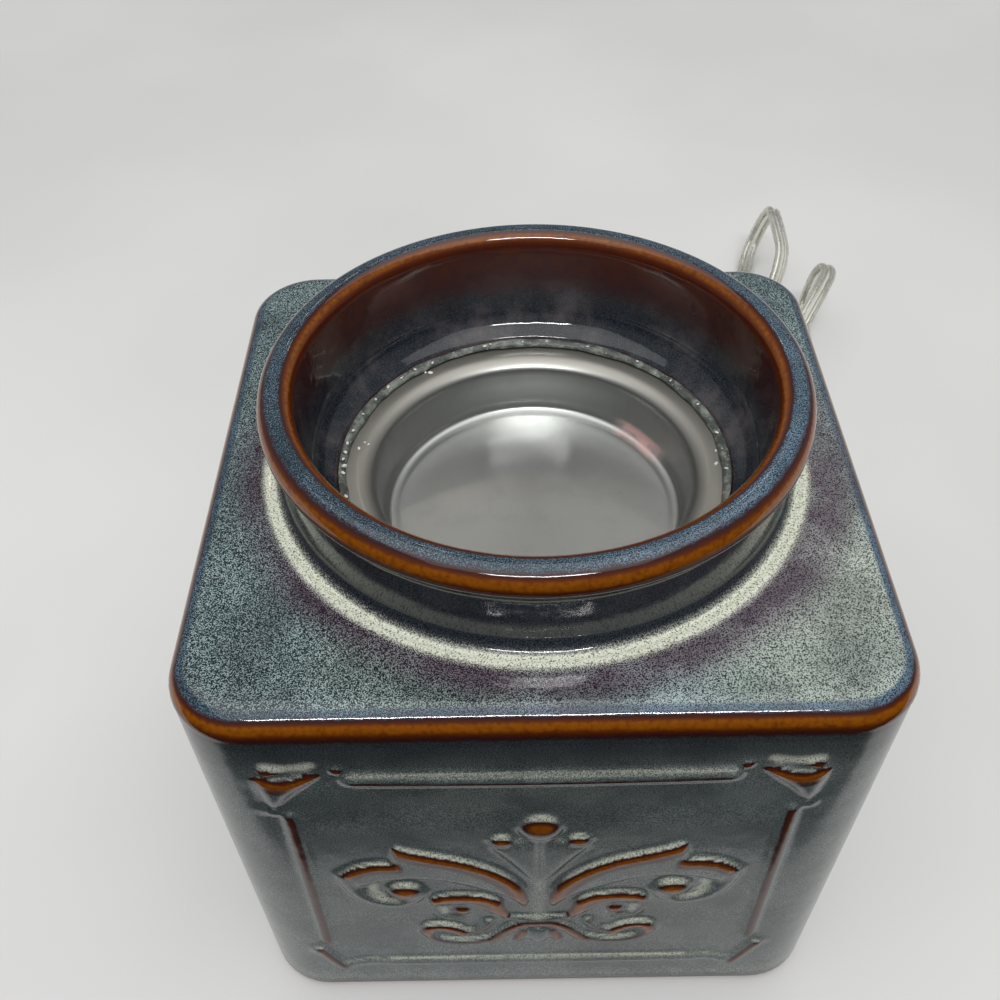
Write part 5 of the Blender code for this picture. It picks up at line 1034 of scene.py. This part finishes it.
# Base plate, feet and screws
# A black moulded plate with vents closes the body from below. Four rubber feet with a counterbore are
# held by cross-head screws that bite into blocks cemented into the corners.
black_moulding = grained_finish(
    "black_moulding", (0.012, 0.012, 0.012), (0.035, 0.035, 0.036),
    grain=0.00035, rough=(0.40, 0.58), depth=0.00006,
)
foot_rubber = grained_finish(
    "foot_rubber", (0.022, 0.022, 0.022), (0.060, 0.058, 0.055),
    grain=0.0006, rough=(0.65, 0.85), depth=0.00008,
)
refinish(black_moulding, "base_plate")
FOOT_SPOT = 0.0439  # out from the middle, both ways
FOOT_PROFILE = (
    (0.00190, 0.00180), (0.00320, 0.00180), (0.00320, 0.00030), (0.00350, 0.00000), (0.00480, 0.00000),
    (0.00490, 0.00022), (0.00520, 0.00022), (0.00530, 0.00000), (0.00610, 0.00000), (0.00660, 0.00018),
    (0.00690, 0.00050), (0.00700, 0.00090), (0.00694, 0.00230), (0.00675, 0.00265), (0.00640, 0.00270),
    (0.00190, 0.00270), (0.00190, 0.00180),
)
SCREW_PROFILE = (
    (0.00010, 0.00040), (0.00110, 0.00040), (0.00210, 0.00050), (0.00262, 0.00075), (0.00280, 0.00110),
    (0.00280, 0.00150), (0.00150, 0.00150), (0.00150, 0.01230), (0.00010, 0.01380),
)
CORNERS = (("front_left", -1, -1), ("front_right", 1, -1), ("back_left", -1, 1), ("back_right", 1, 1))
FOOT_STEPS = 48
FOOT_MERGE = 0.00001
SCREW_STEPS = 32
CROSS_ARM = (0.0030, 0.00055, 0.0009)
CROSS_Z = 0.0005


def place_copy(model, name, matrix):
    """A copy of a modelled piece with a mesh of its own, moved by the matrix."""
    copy = model.copy()
    copy.data = model.data.copy()
    copy.name = name
    copy.data.transform(matrix)
    bpy.context.scene.collection.objects.link(copy)
    return copy


foot = throw_rings("foot", FOOT_PROFILE, FOOT_STEPS, close_end=False)
face_outwards(foot, FOOT_MERGE)
smooth_by_angle(foot, 40)
screw = throw_rings("screw", SCREW_PROFILE, SCREW_STEPS, close_start=True)
for turned in (0, math.pi / 2):
    bpy.ops.object.select_all(action="DESELECT")
    bpy.ops.mesh.primitive_cube_add(size=1, location=(0, 0, CROSS_Z))
    slot = bpy.context.object
    slot.scale = CROSS_ARM
    slot.rotation_euler = (0, 0, turned)
    cross = screw.modifiers.new("cross", "BOOLEAN")
    cross.operation = "DIFFERENCE"
    cross.solver = "EXACT"
    cross.object = slot
    bake_modifiers(screw)
    bpy.data.objects.remove(slot)
smooth_by_angle(screw, 35)
for corner, sx, sy in CORNERS:
    for model, kind, node, finish, slot_name in (
        (foot, "foot_", "rubber_foot_", foot_rubber, "rubber"),
        (screw, "screw_", "base_screw_", zinc_steel, "steel"),
    ):
        copy = place_copy(model, kind + corner, Matrix.Translation((sx * FOOT_SPOT, sy * FOOT_SPOT, 0)))
        copy.data.materials.append(finish)
        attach(copy, "warmer")
        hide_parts(node + corner)
bpy.data.objects.remove(foot)
bpy.data.objects.remove(screw)

# Strain relief
# A moulded clear bush in the back wall. A flange bears on the glaze, and a ribbed tail tapers along
# the cord to keep it from kinking.
BUSH_X = 0.025
BUSH_Z = 0.0140
BUSH_STEPS = 48
BUSH_RIBS = 7
BUSH_RIBS_START = 0.0613
BUSH_RIB_PITCH = 0.0028
BUSH_RIB_R = 0.00425
BUSH_RIB_DEPTH = 0.00075
BUSH_TAPER = 0.00013  # by which each rib is smaller than the one before
BUSH_PROFILE = [  # radius, and place along the cord
    (0.00020, 0.0505), (0.00600, 0.0505), (0.00620, 0.0508), (0.00620, 0.0521), (0.00430, 0.0523),
    (0.00430, 0.0588), (0.00590, 0.0590), (0.00620, 0.0593), (0.00620, 0.0602), (0.00590, 0.0605),
    (0.00440, 0.0607),
]
for rib in range(BUSH_RIBS):
    y = BUSH_RIBS_START + BUSH_RIB_PITCH * rib
    crest = BUSH_RIB_R - BUSH_TAPER * rib
    groove = crest - BUSH_RIB_DEPTH
    BUSH_PROFILE += [(groove, y), (groove, y + 0.0007), (crest, y + 0.0009), (crest, y + 0.0021),
                     (crest - 0.00010, y + 0.0023)]
BUSH_PROFILE += [(0.00318, 0.0812), (0.00300, 0.0815), (0.00020, 0.0816)]


def clear_plastic(name, dark, light, tone_size, bump, bump_size, **sockets):
    """A see-through plastic, slightly uneven in tone and surface."""
    material, tree, shader = new_finish(name, **sockets)
    place = object_place(tree)
    tone = spread(mottle(place, tone_size, 3.0), 0.35, 0.70)
    normal = bumps(mottle(place, bump_size), bump, 0.0002)
    feed(shader, Base_Color=mix_colours(tone, dark, light), Normal=normal)
    return material


relief_bush = throw_rings("strain_relief_bush", BUSH_PROFILE, BUSH_STEPS, close_start=True)
relief_bush.data.transform(
    Matrix.Translation((BUSH_X, 0, BUSH_Z)) @ Matrix.Rotation(math.radians(-90), 4, "X")
)
smooth_by_angle(relief_bush, 35)
clear_moulding = clear_plastic(
    "clear_moulding", (0.74, 0.74, 0.66, 1), (0.90, 0.90, 0.84, 1), tone_size=0.004, bump=0.15,
    bump_size=0.0015, Roughness=0.22, IOR=1.52, Transmission_Weight=0.75,
)
relief_bush.data.materials.append(clear_moulding)
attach(relief_bush, "warmer")
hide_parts("strain_relief")

# Switch on the cord
# A two-part moulded case with a black rocker on a pin. The halves meet on a fine line and two screws
# hold them from below.
CAD_MERGE = 0.000005  # within which the corners of a solid's triangles are one
CAD_FLAT = 0.01  # radians, under which two of its faces are one
BROKEN_EDGE = math.radians(50)  # edges sharper than this are bevelled


def refine_copy(node, name, material, body, smooth, bevel=0.0):
    """A copy of a CAD node with its triangles merged, its edges broken and its surface smoothed."""
    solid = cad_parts[node]
    copy = solid.copy()
    copy.data = solid.data.copy()
    copy.name = name
    copy.data.name = name
    for key in list(copy.keys()):
        if key.startswith("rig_"):
            del copy[key]
    copy.parent = None
    copy.data.transform(solid.matrix_world)
    copy.matrix_world = Matrix.Identity(4)
    bpy.context.scene.collection.objects.link(copy)
    copy.hide_render = False
    copy.hide_viewport = False
    pick_only(copy)
    bpy.ops.object.mode_set(mode="EDIT")
    bpy.ops.mesh.select_all(action="SELECT")
    bpy.ops.mesh.remove_doubles(threshold=CAD_MERGE)
    bpy.ops.mesh.tris_convert_to_quads(face_threshold=0.02, shape_threshold=0.02)
    if bevel:
        bpy.ops.mesh.dissolve_limited(angle_limit=CAD_FLAT)
    bpy.ops.object.mode_set(mode="OBJECT")
    if bevel:
        edge = copy.modifiers.new("edge", "BEVEL")
        edge.width = bevel
        edge.segments = 2
        edge.limit_method = "ANGLE"
        edge.angle_limit = BROKEN_EDGE
        bake_modifiers(copy)
    copy.data.materials.clear()
    copy.data.materials.append(material)
    smooth_by_angle(copy, smooth)
    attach(copy, body)
    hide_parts(node)
    return copy


ivory_case = grained_finish(
    "ivory_case", (0.66, 0.65, 0.59), (0.76, 0.75, 0.69),
    grain=0.0005, rough=(0.32, 0.48), depth=0.00004,
)
rocker_black = grained_finish(
    "rocker_black", (0.010, 0.010, 0.011), (0.028, 0.028, 0.030),
    grain=0.0004, rough=(0.28, 0.42), depth=0.00003,
)
switch_pieces = [
    refine_copy("switch_case_top", "switch_shell_top", ivory_case, "warmer", 40),
    refine_copy("switch_case_bottom", "switch_shell_bottom", ivory_case, "warmer", 40),
    refine_copy("switch_rocker", "rocker_key", rocker_black, "rocker", 40),
]

# Plug
# A clear moulded two-pin plug with a ribbed grip, its blades folded from nickel-plated brass.
PLUG_PLACE = Matrix.Translation((0.0120, 0.1625, 0.0066)) @ Matrix.Rotation(math.radians(6.0), 4, "Z")
PLUG_LENGTH = 0.0240
PLUG_WIDTH = 0.0210
PLUG_NECK = 0.0100  # its width at the cord's end
GRIP_RIBS = 5  # on each side
GRIP_RIB = (0.0009, 0.0011, 0.0085)
GRIP_RIB_EDGE = 0.0003
GRIP_RIB_SINK = 0.0001
GRIP_START = 0.0050
GRIP_PITCH = 0.0026
plug_shell = refine_copy("plug_body", "plug_shell", clear_moulding, "warmer", 40, 0.0006)
nickel_brass = grained_finish(
    "nickel_brass", (0.56, 0.50, 0.38), (0.74, 0.69, 0.56),
    grain=0.0006, rough=(0.18, 0.36), depth=0.00002, metallic=1.0,
)
plug_blades = [
    refine_copy("plug_blade_" + pole, "blade_" + pole, nickel_brass, "warmer", 35, 0.0003)
    for pole in ("live", "neutral")
]
bpy.ops.mesh.primitive_cube_add(size=1)
grip_rib = bpy.context.object
grip_rib.scale = GRIP_RIB
bpy.ops.object.transform_apply(scale=True)
broken = grip_rib.modifiers.new("edge", "BEVEL")
broken.width = GRIP_RIB_EDGE
broken.segments = 2
bake_modifiers(grip_rib)
plug_ribs = []
for side in (-1, 1):
    for rib in range(GRIP_RIBS):
        x = GRIP_START + GRIP_PITCH * rib
        half = 0.5 * (PLUG_NECK + (PLUG_WIDTH - PLUG_NECK) * x / PLUG_LENGTH)
        spot = PLUG_PLACE @ Matrix.Translation((x, side * (half - GRIP_RIB_SINK), 0))
        plug_ribs.append(place_copy(grip_rib, "plug_rib", spot))
bpy.data.objects.remove(grip_rib)
plug_grip = join_pieces(plug_ribs, "plug_grip_ribs")
plug_grip.data.materials.append(clear_moulding)
smooth_by_angle(plug_grip, 40)
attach(plug_grip, "warmer")

# Cord
# Clear flat lamp cord, two stranded conductors in one figure-of-eight skin. It leaves the strain
# relief, lies in two high loops behind the body, goes through the switch and on to a neat coil of the
# spare length, and ends in the plug.
CORD_WIDTH = 0.0053
CORD_LOBE_R = 0.00134
CORD_LOBE_OUT = 0.00131
CORD_WEB = 0.00088
CONDUCTOR_R = 0.00062
LEAD_ROUTE = (  # across, back and up in millimetres, and the roll of the flat cord in degrees
    (25.0, 81.9, 14.0, 0), (25.0, 88.0, 13.6, 0), (26.6, 97.5, 9.6, 0), (30.8, 107.5, 4.6, 6),
    (38.0, 121.0, 2.4, 14), (49.0, 141.0, 2.4, 18), (62.0, 163.0, 2.5, 20), (76.5, 188.0, 2.6, 20),
    (85.2, 202.0, 2.7, 20), (88.6, 210.8, 2.9, 18), (91.0, 217.5, 5.1, 22), (93.4, 220.9, 9.7, 39),
    (95.1, 221.6, 14.3, 90), (96.3, 220.2, 19.0, 141), (96.8, 216.0, 23.5, 158), (95.8, 209.0, 25.7, 162),
    (95.6, 199.0, 25.4, 160), (95.4, 189.0, 22.8, 152), (92.0, 179.5, 17.2, 134), (86.4, 170.5, 10.4, 114),
    (79.4, 160.4, 5.4, 99), (81.5, 152.9, 3.4, 92), (87.7, 148.2, 2.8, 90), (95.5, 148.3, 2.8, 88),
    (101.6, 153.2, 2.8, 70), (102.4, 171.0, 2.9, 12), (104.1, 177.9, 5.1, 14), (105.8, 181.5, 9.9, 27),
    (107.0, 182.4, 14.6, 90), (107.8, 181.2, 19.4, 153), (108.0, 177.1, 24.2, 166),
    (107.2, 170.1, 26.4, 168),
    (102.4, 160.5, 26.2, 172), (95.4, 149.0, 23.0, 176), (87.4, 136.6, 16.4, 180), (78.5, 122.8, 8.6, 180),
    (68.0, 107.8, 3.5, 180), (58.0, 94.4, 1.8, 180), (47.5, 82.8, 1.7, 180), (36.5, 76.4, 2.4, 180),
    (26.0, 75.0, 5.2, 180), (20.6, 75.0, 7.4, 180), (15.3, 75.0, 8.0, 180),
)
LINK_ROUTE = (
    (-41.3, 75.0, 8.0, 0), (-46.6, 75.1, 7.7, 10), (-53.5, 79.0, 6.0, 50), (-57.2, 87.5, 4.6, 80),
    (-56.6, 98.0, 4.1, 90), (-54.4, 109.0, 3.95, 90), (-53.1, 116.5, 3.95, 90),
)
TAIL_ROUTE = (
    (-14.0, 160.8, 9.85, 90), (-8.0, 161.0, 9.7, 86), (-1.0, 161.4, 8.8, 62), (6.0, 161.9, 7.3, 22),
    (11.7, 162.47, 6.6, 0),
)
COIL_CENTRE = (-20.0, 128.0)  # millimetres, as are the coil's other lengths
COIL_R = 32.0
COIL_STEP = 3.4
COIL_TURNS = 5.25
COIL_LOW_Z = 3.95
COIL_HIGH_Z = 9.85
COIL_POINTS = 126


def coil_rows():
    """Winds in on the lower layer and out again on the upper one."""
    rows = []
    for i in range(COIL_POINTS + 1):
        turns = COIL_TURNS * i / COIL_POINTS
        angle = math.pi - 2 * math.pi * turns
        radius = COIL_R - COIL_STEP * min(turns, COIL_TURNS - turns)
        climb = float(ease((turns - COIL_TURNS / 2) * 2 + 0.5, 0, 1))
        rows.append((COIL_CENTRE[0] + radius * math.cos(angle), COIL_CENTRE[1] + radius * math.sin(angle),
                     COIL_LOW_Z + (COIL_HIGH_Z - COIL_LOW_Z) * climb, 90))
    return rows


def cord_frames(rows):
    """Each point's place, and the directions of the flat cord's width and thickness there."""
    points = rows[:, :3]
    ahead = np.gradient(points, axis=0)
    ahead /= np.linalg.norm(ahead, axis=1)[:, None]
    level = np.cross(ahead, (0, 0, 1))
    level /= np.linalg.norm(level, axis=1)[:, None]
    lifted = np.cross(level, ahead)
    roll = np.radians(rows[:, 3])[:, None]
    wide = level * np.cos(roll) - lifted * np.sin(roll)
    return points, wide, np.cross(ahead, wide)


def tube_mesh(name, points, wide, thick, outline):
    """A closed tube with that outline, as (share of wide, share of thick) in metres."""
    corners = [p + a * w + b * t for p, w, t in zip(points, wide, thick) for a, b in outline]
    return skin_rings(name, corners, len(outline))


def cord_outline():
    """The figure of eight, once round."""
    outline = []
    for x in np.cos(np.linspace(math.pi, 0, 11)) * CORD_WIDTH / 2:
        lobe = CORD_LOBE_R**2 - (abs(x) - CORD_LOBE_OUT) ** 2
        y = max(math.sqrt(max(lobe, 0)), CORD_WEB if abs(x) < CORD_LOBE_OUT else 0)
        outline.append((x, y))
    return outline + [(x, -y) for x, y in outline[-2:0:-1]]


def round_outline(offset, radius, count=8):
    angles = [2 * math.pi * k / count for k in range(count)]
    return [(offset + radius * math.cos(a), -radius * math.sin(a)) for a in angles]


def make_cord(name, rows, steps):
    rows = smooth_line(rows, steps)
    rows[:, :3] /= 1000
    points, wide, thick = cord_frames(rows)
    skin = tube_mesh(name, points, wide, thick, cord_outline())
    strands = []
    for side, label in ((-1, "_strand_a"), (1, "_strand_b")):
        inner = slice(1, -1)
        strands.append(tube_mesh(name + label, points[inner], wide[inner], thick[inner],
                                 round_outline(side * CORD_LOBE_OUT, CONDUCTOR_R)))
    for piece in (skin, *strands):
        face_outwards(piece)
        smooth_by_angle(piece, 50)
    length = float(np.linalg.norm(np.diff(points, axis=0), axis=1).sum())
    return skin, strands, points, length


clear_skin = clear_plastic(
    "clear_cord_skin", (0.90, 0.90, 0.83, 1), (0.98, 0.98, 0.94, 1), tone_size=0.008, bump=0.2,
    bump_size=0.0018, Roughness=0.12, IOR=1.5, Transmission_Weight=0.82,
)
tinned_copper = grained_finish(
    "tinned_strands", (0.72, 0.71, 0.66), (0.93, 0.92, 0.88),
    grain=0.0004, rough=(0.22, 0.40), depth=0.00006, metallic=1.0,
)
lead_skin, lead_strands, lead_points, lead_length = make_cord("cord_to_switch", LEAD_ROUTE, 4)
spare_rows = [*LINK_ROUTE, *coil_rows(), *TAIL_ROUTE]
spare_skin, spare_strands, spare_points, spare_length = make_cord("cord_spare_coil", spare_rows, 3)
for skin, strands, nodes in (
    (lead_skin, lead_strands, ("cord_lead",)),
    (spare_skin, spare_strands, ("cord_link", "cord_coil", "cord_tail")),
):
    skin.data.materials.append(clear_skin)
    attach(skin, "warmer")
    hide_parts(*nodes)
    for strand in strands:
        strand.data.materials.append(tinned_copper)
        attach(strand, "warmer")
tie_wire = grained_finish(
    "paper_tie", (0.62, 0.62, 0.58), (0.80, 0.80, 0.76),
    grain=0.0004, rough=(0.55, 0.75), depth=0.00005,
)
ties = [
    refine_copy(f"cord_tie_{i}", f"coil_tie_{i}", tie_wire, "warmer", 60) for i in (1, 2)
]
